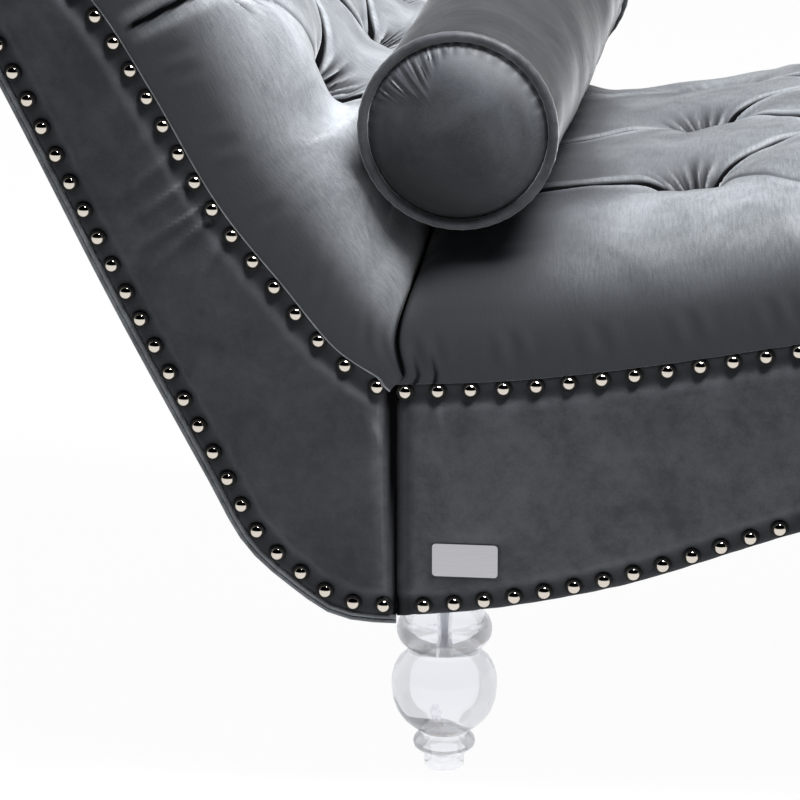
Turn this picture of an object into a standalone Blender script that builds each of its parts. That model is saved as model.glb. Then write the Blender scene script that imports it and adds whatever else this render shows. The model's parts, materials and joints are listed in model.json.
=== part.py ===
"""Tufted chaise longue on four turned acrylic legs, with a loose bolster.

The back and the seat are two separate plywood units, bolted together at a vertical seam. Each unit has two
shaped sides that carry a foam slab and a tufted cushion, and each side is covered by a padded velvet panel.
The seat's foam lies on sinuous springs, the back's on webbing. Both units end in a round scroll.

X runs towards the foot end, -Y is the side with the label plate, and Z is up. The origin is on the floor,
under the middle of the length. Outlines are drawn in the XZ plane, with x measured from the seam and z from
the lower edge of the frame.
"""
import math

import bmesh
import bpy
from mathutils import Matrix, Vector

# Gaps, metres
CLEAR = 0.0003                   # between pieces that touch
BOLT_PLAY = 0.0005               # round a bolt or a stud in its hole

# Width, from the middle outwards
WIDTH = 0.710                    # over the velvet on both sides
PANEL_T = 0.0064                 # padded velvet side panel
SIDE_T = 0.018                   # plywood side
BOARD_T = 0.018                  # cross rails

# Legs
LEG_HEIGHT = 0.157
LEG_TUCK = 0.003                 # how far the leg's top reaches up behind the velvet
REAR_LEG_X = 0.036               # from the seam
FRONT_LEG_X = 0.880
LEG_INSET = 0.055                # leg's axis, in from the outside of the velvet
LEG_FOOT = [(0.0175, 0.0), (0.0175, 0.0126), (0.0255, 0.0165), (0.0273, 0.0227), (0.0230, 0.0300),
            (0.0205, 0.0325), (0.0330, 0.0430), (0.0430, 0.0600), (0.0460, 0.0763), (0.0420, 0.0930)]
LEG_COLLAR = [(0.0312, 0.0530), (0.0312, 0.0475), (0.0395, 0.0410), (0.0415, 0.0310), (0.0395, 0.0210),
              (0.0340, 0.0160), (0.0340, 0.0)]     # radius, and depth below the leg's top
LEG_STEPS = 20
STUD_R = 0.004                   # M8
STUD_IN_LEG = 0.048
BLOCK_LENGTH = 0.070
BLOCK_WIDTH = 0.065
BLOCK_HEIGHT = 0.045
TEE_NUT_R = 0.011
TEE_NUT_HEIGHT = 0.008

# Side outline of the seat unit
SEAM_HEIGHT = 0.208
SEAT_TOP = [(0.10, 0.007), (0.20, 0.021), (0.31, 0.041), (0.50, 0.078), (0.75, 0.117)]   # above the seam's top
ARCH = [(0.174, 0.029), (0.342, 0.087), (0.480, 0.128), (0.660, 0.095)]
FOOT_SCROLL_X = 1.020
FOOT_SCROLL_Z = 0.366
FOOT_SCROLL_R = 0.046
FOOT_ARC = (115.0, -105.0)       # degrees, from the seat round to the neck under the scroll
TOE_OUT = 0.085                  # the belly in front of the front leg
TOE_UP = 0.020
HEEL_Z = 0.002                   # the lower edge, where it comes down to the front leg
FOOT_EDGE = [(-0.018, 0.100), (-0.008, 0.200)]   # from the scroll's centre, above the frame's lower edge

# Side outline of the back unit
BACK_FRONT = [(-0.045, 0.239), (-0.095, 0.298), (-0.146, 0.363), (-0.201, 0.459), (-0.243, 0.526),
              (-0.300, 0.590)]
BACK_REAR = [(-0.048, 0.004), (-0.081, 0.024), (-0.1235, 0.062), (-0.154, 0.117), (-0.236, 0.273),
             (-0.332, 0.467)]
BACK_SCROLL_X = -0.400
BACK_SCROLL_Z = 0.586
BACK_SCROLL_R = 0.050
BACK_ARC = (65.0, 300.0)

# Cushions
CUSHION_T = 0.103                # over the seat and over the lower back
BACK_ROLL_T = 0.050              # over the back scroll
FOOT_ROLL_T = 0.034              # over the foot scroll
TAIL_T = 0.011                   # where a cushion ends under its scroll
BORDER = 0.085                   # rounded side border
BORDER_POWER = 2.4
CROWN = 0.022
CROWN_POWER = 5.0                # how flat the crown is before it falls to the border
BACK_CROWN = 0.004               # over the back, above the bolster
CROWN_FADE = (0.190, 0.060)      # where the back's crown starts to fall, and over what length
SEAM_DIP = 0.010                 # where the two cushions meet
SEAT_STEPS = 35                  # grid steps from the seam to the scroll
BACK_STEPS = 19
SCROLL_STEPS = 15                # grid steps round a scroll
TUFT_STEPS = 5                   # grid steps between two rows of buttons
SEAT_FIRST_ROW = 9
SEAT_ROWS = 5
BACK_FIRST_ROW = 7
BACK_ROWS = 3
TUFT_GAP = 0.200                 # between the buttons of one row
TUFT_DEPTH = 0.046
TUFT_R = 0.036
FOLD_DEPTH = 0.007               # folds from button to button
CROOK_LENGTH = 0.215             # stretch of the back cushion that leans into the crook
FOAM_T = 0.030
CLOTH_T = 0.0015
DUST_COVER_T = 0.0014
SKIN_T = 0.0055                  # velvet and board on the outside of the back and of the foot

# Springs and webbing
WIRE_R = 0.0018
SPRING_ROWS = (6, 13, 20, 27)    # grid steps from the seam
SPRING_WAVE = 0.022
SPRING_BENDS = 9
SPRING_TAIL = 0.010              # straight end of the wire
WEB_ROWS = ((2, 4), (7, 9), (12, 14))
WEB_T = 0.002

# Cross rails and bolts
JOINT_RAIL_LOW = 0.051           # above the frame's lower edge
JOINT_RAIL_HEIGHT = 0.100
MIDDLE_RAIL_X = 0.470
MIDDLE_RAIL_HEIGHT = 0.050
BOLT_R = 0.004
BOLT_HEAD_R = 0.0085
BOLT_HEAD_T = 0.005
NUT_T = 0.0065
BOLT_Y = 0.240
BOLT_Z = (0.076, 0.126)

# Bolster
BOLSTER_R = 0.0805
BOLSTER_CROWN = 0.0015
BOLSTER_LENGTH = 0.650
BOLSTER_CHAMFER = 0.007          # the corner that the piping lies in
BOLSTER_DOME = 0.008
BOLSTER_YAW = 1.5                # degrees, the far end towards the foot
BOLSTER_OFF_BACK = 0.004         # from the roll to the crown of the back cushion
BOLSTER_STEPS = 24
PIPING_R = 0.0045
PRESS_GAP = 0.0005               # from the roll to the corners of the pressed cushion

# Label plate
PLATE_X = 0.059
PLATE_Z = 0.0525
PLATE_W = 0.056
PLATE_H = 0.029
PLATE_T = 0.001
PLATE_CORNER = 0.003

FRAME_Z = LEG_HEIGHT - LEG_TUCK
OUTER_Y = WIDTH / 2
PANEL_Y = OUTER_Y - PANEL_T
SIDE_Y = PANEL_Y - CLEAR
INNER_Y = SIDE_Y - SIDE_T
CROSS_Y = INNER_Y - CLEAR
LEG_Y = OUTER_Y - LEG_INSET
SKIN_INSET = SKIN_T + CLEAR
REAR_END = BACK_SCROLL_X - BACK_SCROLL_R - BACK_ROLL_T
FOOT_END = FOOT_SCROLL_X + FOOT_SCROLL_R + FOOT_ROLL_T
SEAM_X = -(REAR_END + FOOT_END) / 2


def clear_scene():
    for obj in list(bpy.data.objects):
        bpy.data.objects.remove(obj)


def finish(name, colour, roughness, metallic=0.0, alpha=1.0):
    """A Principled material; the colour is linear RGB."""
    material = bpy.data.materials.new(name)
    material.use_nodes = True
    shader = material.node_tree.nodes["Principled BSDF"]
    shader.inputs["Base Color"].default_value = (*colour, 1.0)
    shader.inputs["Roughness"].default_value = roughness
    shader.inputs["Metallic"].default_value = metallic
    shader.inputs["Alpha"].default_value = alpha
    return material


def add_object(name, bm, material, smooth_below=None):
    """Turn a bmesh into an object, with its faces pointing out."""
    bmesh.ops.recalc_face_normals(bm, faces=bm.faces)
    mesh = bpy.data.meshes.new(name)
    bm.to_mesh(mesh)
    bm.free()
    if smooth_below is not None:
        mesh.shade_smooth()
        mesh.set_sharp_from_angle(angle=math.radians(smooth_below))
    mesh.materials.append(material)
    obj = bpy.data.objects.new(name, mesh)
    bpy.context.collection.objects.link(obj)
    return obj


def spline(points, count, start=None, end=None):
    """A smooth curve through the points, as count equal steps. start and end are directions."""
    knots = [Vector(point) for point in points]
    gaps = [(b - a).length for a, b in zip(knots, knots[1:])]
    slopes = [(knots[1] - knots[0] if start is None else Vector(start)).normalized()]
    for i in range(1, len(knots) - 1):
        slopes.append((knots[i + 1] - knots[i - 1]) / (gaps[i - 1] + gaps[i]))
    slopes.append((knots[-1] - knots[-2] if end is None else Vector(end)).normalized())
    fine = []
    parts = 24
    for i, gap in enumerate(gaps):
        for k in range(parts):
            t = k / parts
            place = knots[i] * (2 * t**3 - 3 * t**2 + 1) + knots[i + 1] * (3 * t**2 - 2 * t**3)
            bend = slopes[i] * (t**3 - 2 * t**2 + t) + slopes[i + 1] * (t**3 - t**2)
            fine.append(place + bend * gap)
    fine.append(knots[-1])
    return equal_steps(fine, count)


def equal_steps(points, count):
    """The same line, cut into count steps of equal length."""
    run = [0.0]
    for a, b in zip(points, points[1:]):
        run.append(run[-1] + (b - a).length)
    result = [points[0]]
    i = 0
    for k in range(1, count):
        goal = run[-1] * k / count
        while run[i + 1] < goal:
            i += 1
        share = (goal - run[i]) / (run[i + 1] - run[i])
        result.append(points[i].lerp(points[i + 1], share))
    return result + [points[-1]]


def arc(centre, radius, first, last, steps):
    """Points on an arc after its first one; angles in degrees."""
    result = []
    for k in range(1, steps + 1):
        angle = math.radians(first + (last - first) * k / steps)
        result.append(Vector(centre) + radius * Vector((math.cos(angle), math.sin(angle))))
    return result


def on_circle(centre, radius, degrees):
    angle = math.radians(degrees)
    return Vector(centre) + radius * Vector((math.cos(angle), math.sin(angle)))


class Edge:
    """One stretch of a unit's outline. inside is 1 where the frame lies on its right, -1 on its left."""

    def __init__(self, points, inside):
        self.points = points
        self.inside = inside

    def part(self, first, last):
        return Edge(self.points[first:last + 1], self.inside)

    def normals(self):
        """Mitred vectors into the frame: a shift along them keeps each step parallel."""
        sides = []
        for a, b in zip(self.points, self.points[1:]):
            along = (b - a).normalized()
            sides.append(Vector((along.y, -along.x)) * self.inside)
        mitres = [sides[0]]
        for a, b in zip(sides, sides[1:]):
            mitres.append((a + b) / (1 + a.dot(b)))
        return mitres + [sides[-1]]

    def inset(self, depth):
        """The stretch moved into the frame by depth."""
        return [point + normal * depth for point, normal in zip(self.points, self.normals())]


def scroll_end(centre, radius, degrees, clockwise):
    """Where a scroll's arc starts, and the direction of travel there."""
    angle = math.radians(degrees)
    turn = -1 if clockwise else 1
    return on_circle(centre, radius, degrees), (-math.sin(angle) * turn, math.cos(angle) * turn)


def seat_edges():
    """The seat unit's top, foot and lower edges."""
    centre = (FOOT_SCROLL_X, FOOT_SCROLL_Z)
    start, along = scroll_end(centre, FOOT_SCROLL_R, FOOT_ARC[0], True)
    rise = [(x, SEAM_HEIGHT + z) for x, z in SEAT_TOP]
    top = spline([(0.0, SEAM_HEIGHT), *rise, start], SEAT_STEPS, end=along)
    top += arc(centre, FOOT_SCROLL_R, *FOOT_ARC, SCROLL_STEPS)
    heel = FRONT_LEG_X - BLOCK_LENGTH / 2
    toe = FRONT_LEG_X + BLOCK_LENGTH / 2
    lower = spline([(0.0, 0.0), *ARCH, (heel, HEEL_Z), (toe, 0.0)], 26, start=(1.0, 0.05), end=(1.0, 0.0))
    front = [(FOOT_SCROLL_X + x, z) for x, z in FOOT_EDGE]
    foot = spline([(toe, 0.0), (FRONT_LEG_X + TOE_OUT, TOE_UP), *front, top[-1]], 16, start=(1.0, 0.0))
    return Edge(top, 1), Edge(foot, -1), Edge(lower, -1)


def back_edges():
    """The back unit's front and rear edges."""
    centre = (BACK_SCROLL_X, BACK_SCROLL_Z)
    start, along = scroll_end(centre, BACK_SCROLL_R, BACK_ARC[0], False)
    front = spline([(0.0, SEAM_HEIGHT), *BACK_FRONT, start], BACK_STEPS, end=along)
    front += arc(centre, BACK_SCROLL_R, *BACK_ARC, SCROLL_STEPS)
    rear = spline([(0.0, 0.0), *BACK_REAR, front[-1]], 18, start=(-1.0, 0.0))
    return Edge(front, -1), Edge(rear, 1)


def world(point, y):
    """A point of an outline, at a place across the width."""
    return Vector((SEAM_X + point[0], y, FRAME_Z + point[1]))


def plate(name, outline, low_y, high_y, material):
    """An outline in the XZ plane, extruded across the width."""
    bm = bmesh.new()
    face = bm.faces.new([bm.verts.new(world(point, low_y)) for point in outline])
    side = bmesh.ops.extrude_face_region(bm, geom=[face])
    moved = [item for item in side["geom"] if isinstance(item, bmesh.types.BMVert)]
    bmesh.ops.translate(bm, verts=moved, vec=(0.0, high_y - low_y, 0.0))
    return add_object(name, bm, material)


def strip(name, edge, near, far, half_width, material):
    """A layer that follows an edge, between two depths inside it."""
    return plate(name, edge.inset(near) + edge.inset(far)[::-1], -half_width, half_width, material)


def board(name, low, high, material):
    """A rectangular board from corner to corner, in world metres."""
    bm = bmesh.new()
    bmesh.ops.create_cube(bm, size=1.0)
    bmesh.ops.scale(bm, verts=bm.verts, vec=Vector(high) - Vector(low))
    bmesh.ops.translate(bm, verts=bm.verts, vec=(Vector(high) + Vector(low)) / 2)
    return add_object(name, bm, material)


def turned(name, profile, steps, place, axis, material, closed=False):
    """A profile of (radius, height) points turned about an axis. closed is for a ring."""
    bm = bmesh.new()
    verts = [bm.verts.new((radius, 0.0, height)) for radius, height in profile]
    pairs = list(zip(verts, verts[1:]))
    if closed:
        pairs.append((verts[-1], verts[0]))
    edges = [bm.edges.new(pair) for pair in pairs]
    bmesh.ops.spin(bm, geom=verts + edges, cent=(0, 0, 0), axis=(0, 0, 1), angle=math.tau, steps=steps,
                   use_merge=True)
    bmesh.ops.remove_doubles(bm, verts=bm.verts, dist=1e-6)
    turn = Vector((0, 0, 1)).rotation_difference(Vector(axis)).to_matrix().to_4x4()
    bmesh.ops.transform(bm, matrix=Matrix.Translation(place) @ turn, verts=bm.verts)
    return add_object(name, bm, material, smooth_below=40)


def drill(obj, place, axis, radius, depth):
    """Cut a round hole through an object, with its middle at place."""
    half = depth / 2
    profile = [(0.0, -half), (radius, -half), (radius, half), (0.0, half)]
    cutter = turned(obj.name + ".hole", profile, 16, place, axis, obj.data.materials[0])
    cutter.hide_render = True
    cutter.display_type = "WIRE"
    cut = obj.modifiers.new("hole", "BOOLEAN")
    cut.operation = "DIFFERENCE"
    cut.object = cutter


def both_sides(name, outline, low_y, high_y, material):
    """The same plate at the front (-Y) and at the rear (+Y)."""
    plate(name + "_front", outline, -high_y, -low_y, material)
    plate(name + "_rear", outline, low_y, high_y, material)


def smooth(value):
    """A soft step from 0 to 1."""
    value = min(max(value, 0.0), 1.0)
    return value * value * (3 - 2 * value)


def crest(rows):
    """The crown line of a cushion, finely stepped."""
    return equal_steps([base + rise * (thickness + crown) for base, rise, thickness, crown in rows], 300)


def bolster_frame(seat, back):
    """The roll's place: it lies on the crown of the seat cushion, by the crown of the back cushion."""
    reach = BOLSTER_R + BOLSTER_CROWN + CLEAR
    off_back = reach + BOLSTER_OFF_BACK
    x = z = 0.0
    for _ in range(8):
        near = [point for point in crest(seat) if abs(point.x - x) < reach]
        z = max(point.y + math.sqrt(reach ** 2 - (point.x - x) ** 2) for point in near)
        near = [point for point in crest(back) if abs(point.y - z) < off_back]
        x = max(point.x + math.sqrt(off_back ** 2 - (point.y - z) ** 2) for point in near)
    return Matrix.Translation(world((x, z), 0.0)) @ Matrix.Rotation(math.radians(-BOLSTER_YAW), 4, "Z")


def pressed(point, roll):
    """Keep a cushion's corner clear of the bolster that lies on it."""
    local = roll.inverted() @ point
    reach = math.hypot(local.x, local.z)
    least = BOLSTER_R + BOLSTER_CROWN + PRESS_GAP
    if abs(local.y) > BOLSTER_LENGTH / 2 + BOLSTER_DOME or reach >= least:
        return point
    scale = least / reach
    return roll @ Vector((local.x * scale, local.y, local.z * scale))


def across_places():
    """Grid lines across the cushions: three steps between two button lines, closer at the border."""
    step = TUFT_GAP / 6
    inner = [k * step for k in range(10)]
    rest = OUTER_Y - inner[-1]
    half = inner + [inner[-1] + rest * share for share in (0.45, 0.8, 1.0)]
    return [-y for y in half[:0:-1]] + half


def tuft_drop(row, y, tuft_rows, step):
    """How far the buttons and the folds between them pull the surface in."""
    drop = 0.0
    for k, tuft_row in enumerate(tuft_rows):
        places = [-1, 0, 1] if k % 2 == 0 else [-1.5, -0.5, 0.5, 1.5]
        for place in places:
            distance = math.hypot((row - tuft_row) * step, y - place * TUFT_GAP)
            drop = max(drop, TUFT_DEPTH * math.exp(-(distance / TUFT_R) ** 2))
    inside = tuft_rows[0] <= row <= tuft_rows[-1]
    u = (row - tuft_rows[0]) / TUFT_STEPS
    v = y / (TUFT_GAP / 2)
    nearest = min(abs(math.sin(math.pi * (u + v) / 2)), abs(math.sin(math.pi * (u - v) / 2)))
    fold = FOLD_DEPTH * max(0.0, 1 - nearest / 0.5) if inside else 0.0
    return max(drop, fold)


def cushion(name, rows, tuft_rows, side, roll, material):
    """A tufted cushion. rows holds each grid row's base point, direction and thickness."""
    across = across_places()
    step = (rows[1][0] - rows[0][0]).length
    bm = bmesh.new()
    bmesh.ops.create_grid(bm, x_segments=len(rows) - 1, y_segments=len(across) - 1, size=0.5)
    flat = BORDER / OUTER_Y
    for vert in bm.verts:
        row = round((vert.co.x + 0.5) * (len(rows) - 1))
        column = round((vert.co.y + 0.5) * (len(across) - 1))
        base, rise, thickness, middle = rows[row]
        y = across[column]
        edge = max(0.0, (abs(y) / OUTER_Y - 1 + flat) / flat)
        height = (1 - edge ** BORDER_POWER) ** (1 / BORDER_POWER) if edge < 1 else 0.0
        crown = middle * max(0.0, 1 - abs(y / (OUTER_Y - BORDER)) ** CROWN_POWER) * thickness / CUSHION_T
        drop = tuft_drop(row, y, tuft_rows, step) * (1 - 0.5 * edge)
        top = height * (thickness + crown - drop)
        point = base + rise * top
        place = pressed(world(point, y), roll) if top > 0 else world(point, y)
        seam = SEAM_X + side * CLEAR
        place.x = max(place.x, seam) if side > 0 else min(place.x, seam)
        vert.co = place
    sides = [edge for edge in bm.edges if edge.is_boundary and
             all(abs(vert.co.y) > OUTER_Y - 1e-6 for vert in edge.verts)]
    bmesh.ops.bridge_loops(bm, edges=sides)
    bmesh.ops.holes_fill(bm, edges=[edge for edge in bm.edges if edge.is_boundary])
    return add_object(name, bm, material, smooth_below=60)


def seat_rows(top):
    """The seat cushion's base follows the frame's top edge; it thins over the scroll. A row is its base point,
    its direction, its thickness at the borders and its crown in the middle."""
    last = len(top.points) - 2
    rows = []
    for i, (base, normal) in enumerate(zip(top.inset(-CLEAR), top.normals())):
        if i > last:
            break
        thin = smooth((i - SEAT_STEPS + 9) / 12)
        tail = smooth((i - last + 4) / 4)
        thickness = CUSHION_T + (FOOT_ROLL_T - CUSHION_T) * thin
        thickness += (TAIL_T - FOOT_ROLL_T) * tail
        upright = 1 - min(1.0, i / 4)
        rise = (-normal.normalized()).lerp(Vector((0.0, 1.0)), upright).normalized()
        rows.append((base, rise, thickness - (SEAM_DIP if i == 0 else 0.0), CROWN))
    return rows


def back_rows(front):
    """The back cushion's base follows the frame's front edge; near the seam it leans into the crook."""
    last = len(front.points) - 2
    step = (front.points[1] - front.points[0]).length
    rows = []
    for i, (base, normal) in enumerate(zip(front.inset(-CLEAR), front.normals())):
        if i > last:
            break
        thin = smooth((i - 13) / 9)
        tail = smooth((i - last + 6) / 6)
        thickness = CUSHION_T + (BACK_ROLL_T - CUSHION_T) * thin
        thickness += (TAIL_T - BACK_ROLL_T) * tail
        out = -normal
        lean = max(0.0, 1 - i * step / CROOK_LENGTH)
        angle = math.atan2(out.y, out.x)
        if lean > 0:
            angle += (math.pi / 2 - angle) * lean
        rise = Vector((math.cos(angle), math.sin(angle)))
        crown = CROWN + (BACK_CROWN - CROWN) * smooth((i * step - CROWN_FADE[0]) / CROWN_FADE[1])
        rows.append((base, rise, thickness - (SEAM_DIP if i == 0 else 0.0), crown))
    return rows


def leg(name, x, y, material):
    """A turned leg: foot, ring, waist, ball, neck, collar and top, with a blind hole for the stud."""
    hole = STUD_R + BOLT_PLAY
    top = LEG_HEIGHT
    profile = [(0.0, 0.0), *LEG_FOOT]
    profile += [(radius, top - below) for radius, below in LEG_COLLAR]
    profile += [(hole, top), (hole, top - STUD_IN_LEG), (0.0, top - STUD_IN_LEG)]
    return turned(name, profile, LEG_STEPS, (x, y, 0.0), (0, 0, 1), material)


def ring(name, inner, outer, thickness, place, axis, steps, material):
    """A flat ring: a nut or the tee nut in a block."""
    profile = [(inner, 0.0), (outer, 0.0), (outer, thickness), (inner, thickness)]
    return turned(name, profile, steps, place, axis, material, closed=True)


def legs_and_blocks(wood, acrylic, steel):
    corners = [("rear_left", REAR_LEG_X, -1), ("rear_right", REAR_LEG_X, 1),
               ("front_left", FRONT_LEG_X, -1), ("front_right", FRONT_LEG_X, 1)]
    for corner, from_seam, side in corners:
        x = SEAM_X + from_seam
        y = side * LEG_Y
        leg("leg_" + corner, x, y, acrylic)
        low_y, high_y = sorted((side * (CROSS_Y - BLOCK_WIDTH), side * CROSS_Y))
        low_z = LEG_HEIGHT + CLEAR
        high_z = low_z + BLOCK_HEIGHT
        block = board("corner_block_" + corner, (x - BLOCK_LENGTH / 2, low_y, low_z),
                      (x + BLOCK_LENGTH / 2, high_y, high_z), wood)
        drill(block, (x, y, (low_z + high_z) / 2), (0, 0, 1), STUD_R + BOLT_PLAY, 2 * BLOCK_HEIGHT)
        nut_z = high_z + CLEAR
        ring("tee_nut_" + corner, STUD_R + BOLT_PLAY, TEE_NUT_R, TEE_NUT_HEIGHT, (x, y, nut_z),
             (0, 0, 1), 12, steel)
        foot = LEG_HEIGHT - STUD_IN_LEG + CLEAR
        stud = [(0.0, foot), (STUD_R, foot), (STUD_R, nut_z + TEE_NUT_HEIGHT), (0.0, nut_z + TEE_NUT_HEIGHT)]
        turned("leg_stud_" + corner, stud, 12, (x, y, 0.0), (0, 0, 1), steel)


def seat_frame(top, foot, lower, wood):
    outline = top.points + foot.inset(SKIN_INSET)[::-1] + lower.inset(SKIN_INSET)[::-1]
    outline = [Vector((max(point.x, CLEAR), point.y)) for point in outline]
    both_sides("seat_side_rail", outline, INNER_Y, SIDE_Y, wood)
    strip("foot_rail", foot.part(5, 12), SKIN_INSET, SKIN_INSET + BOARD_T, CROSS_Y, wood)
    round_rail("foot_top_rail", (FOOT_SCROLL_X, FOOT_SCROLL_Z), FOOT_SCROLL_R, FOOT_ARC, wood)
    arch = min(lower.points, key=lambda point: abs(point.x - MIDDLE_RAIL_X)).y
    low = arch + SKIN_INSET + 4 * CLEAR
    board("seat_middle_rail", world((MIDDLE_RAIL_X - BOARD_T / 2, low), -CROSS_Y),
          world((MIDDLE_RAIL_X + BOARD_T / 2, low + MIDDLE_RAIL_HEIGHT), CROSS_Y), wood)


def round_rail(name, centre, radius, angles, wood):
    """A round rail inside a scroll; it clears the flat steps of the scroll's arc."""
    half_step = math.radians(abs(angles[1] - angles[0]) / SCROLL_STEPS / 2)
    rail = radius * math.cos(half_step) - 2 * CLEAR
    profile = [(0.0, 0.0), (rail, 0.0), (rail, 2 * CROSS_Y), (0.0, 2 * CROSS_Y)]
    turned(name, profile, 24, world(centre, -CROSS_Y), (0, 1, 0), wood)


def joint(wood, steel):
    """The two rails that meet at the seam, and the four bolts and nuts through them."""
    low = JOINT_RAIL_LOW
    high = low + JOINT_RAIL_HEIGHT
    seat_rail = board("seat_joint_rail", world((CLEAR, low), -CROSS_Y), world((CLEAR + BOARD_T, high), CROSS_Y),
                      wood)
    back_rail = board("back_joint_rail", world((-CLEAR - BOARD_T, low), -CROSS_Y), world((-CLEAR, high), CROSS_Y),
                      wood)
    grip = CLEAR + BOARD_T
    number = 0
    for y in (-BOLT_Y, BOLT_Y):
        for z in BOLT_Z:
            number += 1
            for rail, x in ((seat_rail, grip / 2), (back_rail, -grip / 2)):
                drill(rail, world((x, z), y), (1, 0, 0), BOLT_R + BOLT_PLAY, 2 * BOARD_T)
            head = -grip - CLEAR
            profile = [(0.0, -BOLT_HEAD_T), (BOLT_HEAD_R * 0.7, -BOLT_HEAD_T), (BOLT_HEAD_R, -BOLT_HEAD_T * 0.4),
                       (BOLT_HEAD_R, 0.0), (BOLT_R, 0.0), (BOLT_R, 2 * grip + 3 * CLEAR + NUT_T),
                       (0.0, 2 * grip + 3 * CLEAR + NUT_T)]
            turned(f"joint_bolt_{number}", profile, 12, world((head, z), y), (1, 0, 0), steel)
            ring(f"joint_nut_{number}", BOLT_R + 2.4 * BOLT_PLAY, BOLT_HEAD_R, NUT_T,
                 world((grip + CLEAR, z), y), (1, 0, 0), 6, steel)


def seat_support(top, cloth, foam, steel):
    """Springs, deck cloth and foam, under the seat cushion."""
    bed = top.part(0, SEAT_STEPS - 2)
    strip("seat_foam", bed, 0.0, FOAM_T, CROSS_Y, foam)
    strip("seat_deck_cloth", bed, FOAM_T + CLEAR, FOAM_T + CLEAR + CLOTH_T, CROSS_Y, cloth)
    depth = FOAM_T + 2 * CLEAR + CLOTH_T + WIRE_R
    for number, row in enumerate(SPRING_ROWS, 1):
        normal = top.normals()[row].normalized()
        along = Vector((-normal.y, normal.x))
        middle = top.points[row] + normal * depth
        spring(f"seat_spring_{number}", middle, along, steel)


def spring(name, middle, along, steel):
    """A sinuous spring: one wire that waves across the seat between the two sides."""
    curve = bpy.data.curves.new(name, "CURVE")
    curve.dimensions = "3D"
    curve.bevel_depth = WIRE_R
    curve.bevel_resolution = 0
    curve.use_fill_caps = True
    path = [(0.0, 0.0), (SPRING_TAIL, 0.0)]
    length = 2 * (CROSS_Y - SPRING_TAIL)
    count = SPRING_BENDS * 4
    path += [(SPRING_TAIL + length * k / count, math.sin(math.pi * k / 4)) for k in range(1, count)]
    path += [(2 * CROSS_Y - SPRING_TAIL, 0.0), (2 * CROSS_Y, 0.0)]
    line = curve.splines.new("POLY")
    line.points.add(len(path) - 1)
    for point, (run, wave) in zip(line.points, path):
        point.co = (*world(middle + along * SPRING_WAVE * wave, run - CROSS_Y), 1.0)
    obj = bpy.data.objects.new(name, curve)
    curve.materials.append(steel)
    bpy.context.collection.objects.link(obj)


def back_unit(front, rear, wood, velvet, foam, web):
    outline = front.points + rear.inset(SKIN_INSET)[::-1]
    outline = [Vector((min(point.x, -CLEAR), point.y)) for point in outline]
    both_sides("back_side_frame", outline, INNER_Y, SIDE_Y, wood)
    covered = front.points + rear.points[::-1]
    both_sides("back_side_panel", [Vector((min(point.x, -CLEAR), point.y)) for point in covered],
               PANEL_Y, OUTER_Y, velvet)
    strip("back_outer_panel", Edge([Vector((-CLEAR, 0.0))] + rear.points[1:], 1), 0.0, SKIN_T, SIDE_Y, velvet)
    strip("back_middle_rail", rear.part(9, 12), SKIN_INSET, SKIN_INSET + BOARD_T, CROSS_Y, wood)
    round_rail("back_top_rail", (BACK_SCROLL_X, BACK_SCROLL_Z), BACK_SCROLL_R, BACK_ARC, wood)
    strip("back_foam", front.part(0, BACK_STEPS - 2), 0.0, FOAM_T, CROSS_Y, foam)
    for number, (first, last) in enumerate(WEB_ROWS, 1):
        strip(f"back_webbing_{number}", front.part(first, last), FOAM_T + CLEAR, FOAM_T + CLEAR + WEB_T,
              CROSS_Y, web)


def seat_covers(top, foot, lower, velvet, cloth):
    covered = top.points + foot.points[::-1] + lower.points[::-1]
    both_sides("seat_side_panel", [Vector((max(point.x, CLEAR), point.y)) for point in covered],
               PANEL_Y, OUTER_Y, velvet)
    strip("foot_end_panel", foot.part(1, len(foot.points) - 1), 0.0, SKIN_T, SIDE_Y, velvet)
    strip("dust_cover", lower.part(3, 23), SKIN_T - DUST_COVER_T, SKIN_T, SIDE_Y, cloth)


def label_plate(metal):
    """A bare plate with rounded corners, on the front of the seat by the seam."""
    half = Vector((PLATE_W / 2 - PLATE_CORNER, PLATE_H / 2 - PLATE_CORNER))
    outline = []
    for k, (side_x, side_z) in enumerate(((1, 1), (-1, 1), (-1, -1), (1, -1))):
        corner = (PLATE_X + side_x * half.x, PLATE_Z + side_z * half.y)
        outline.append(on_circle(corner, PLATE_CORNER, 90 * k))
        outline += arc(corner, PLATE_CORNER, 90 * k, 90 * k + 90, 4)
    plate("label_plate", outline, -OUTER_Y - CLEAR - PLATE_T, -OUTER_Y - CLEAR, metal)


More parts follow.
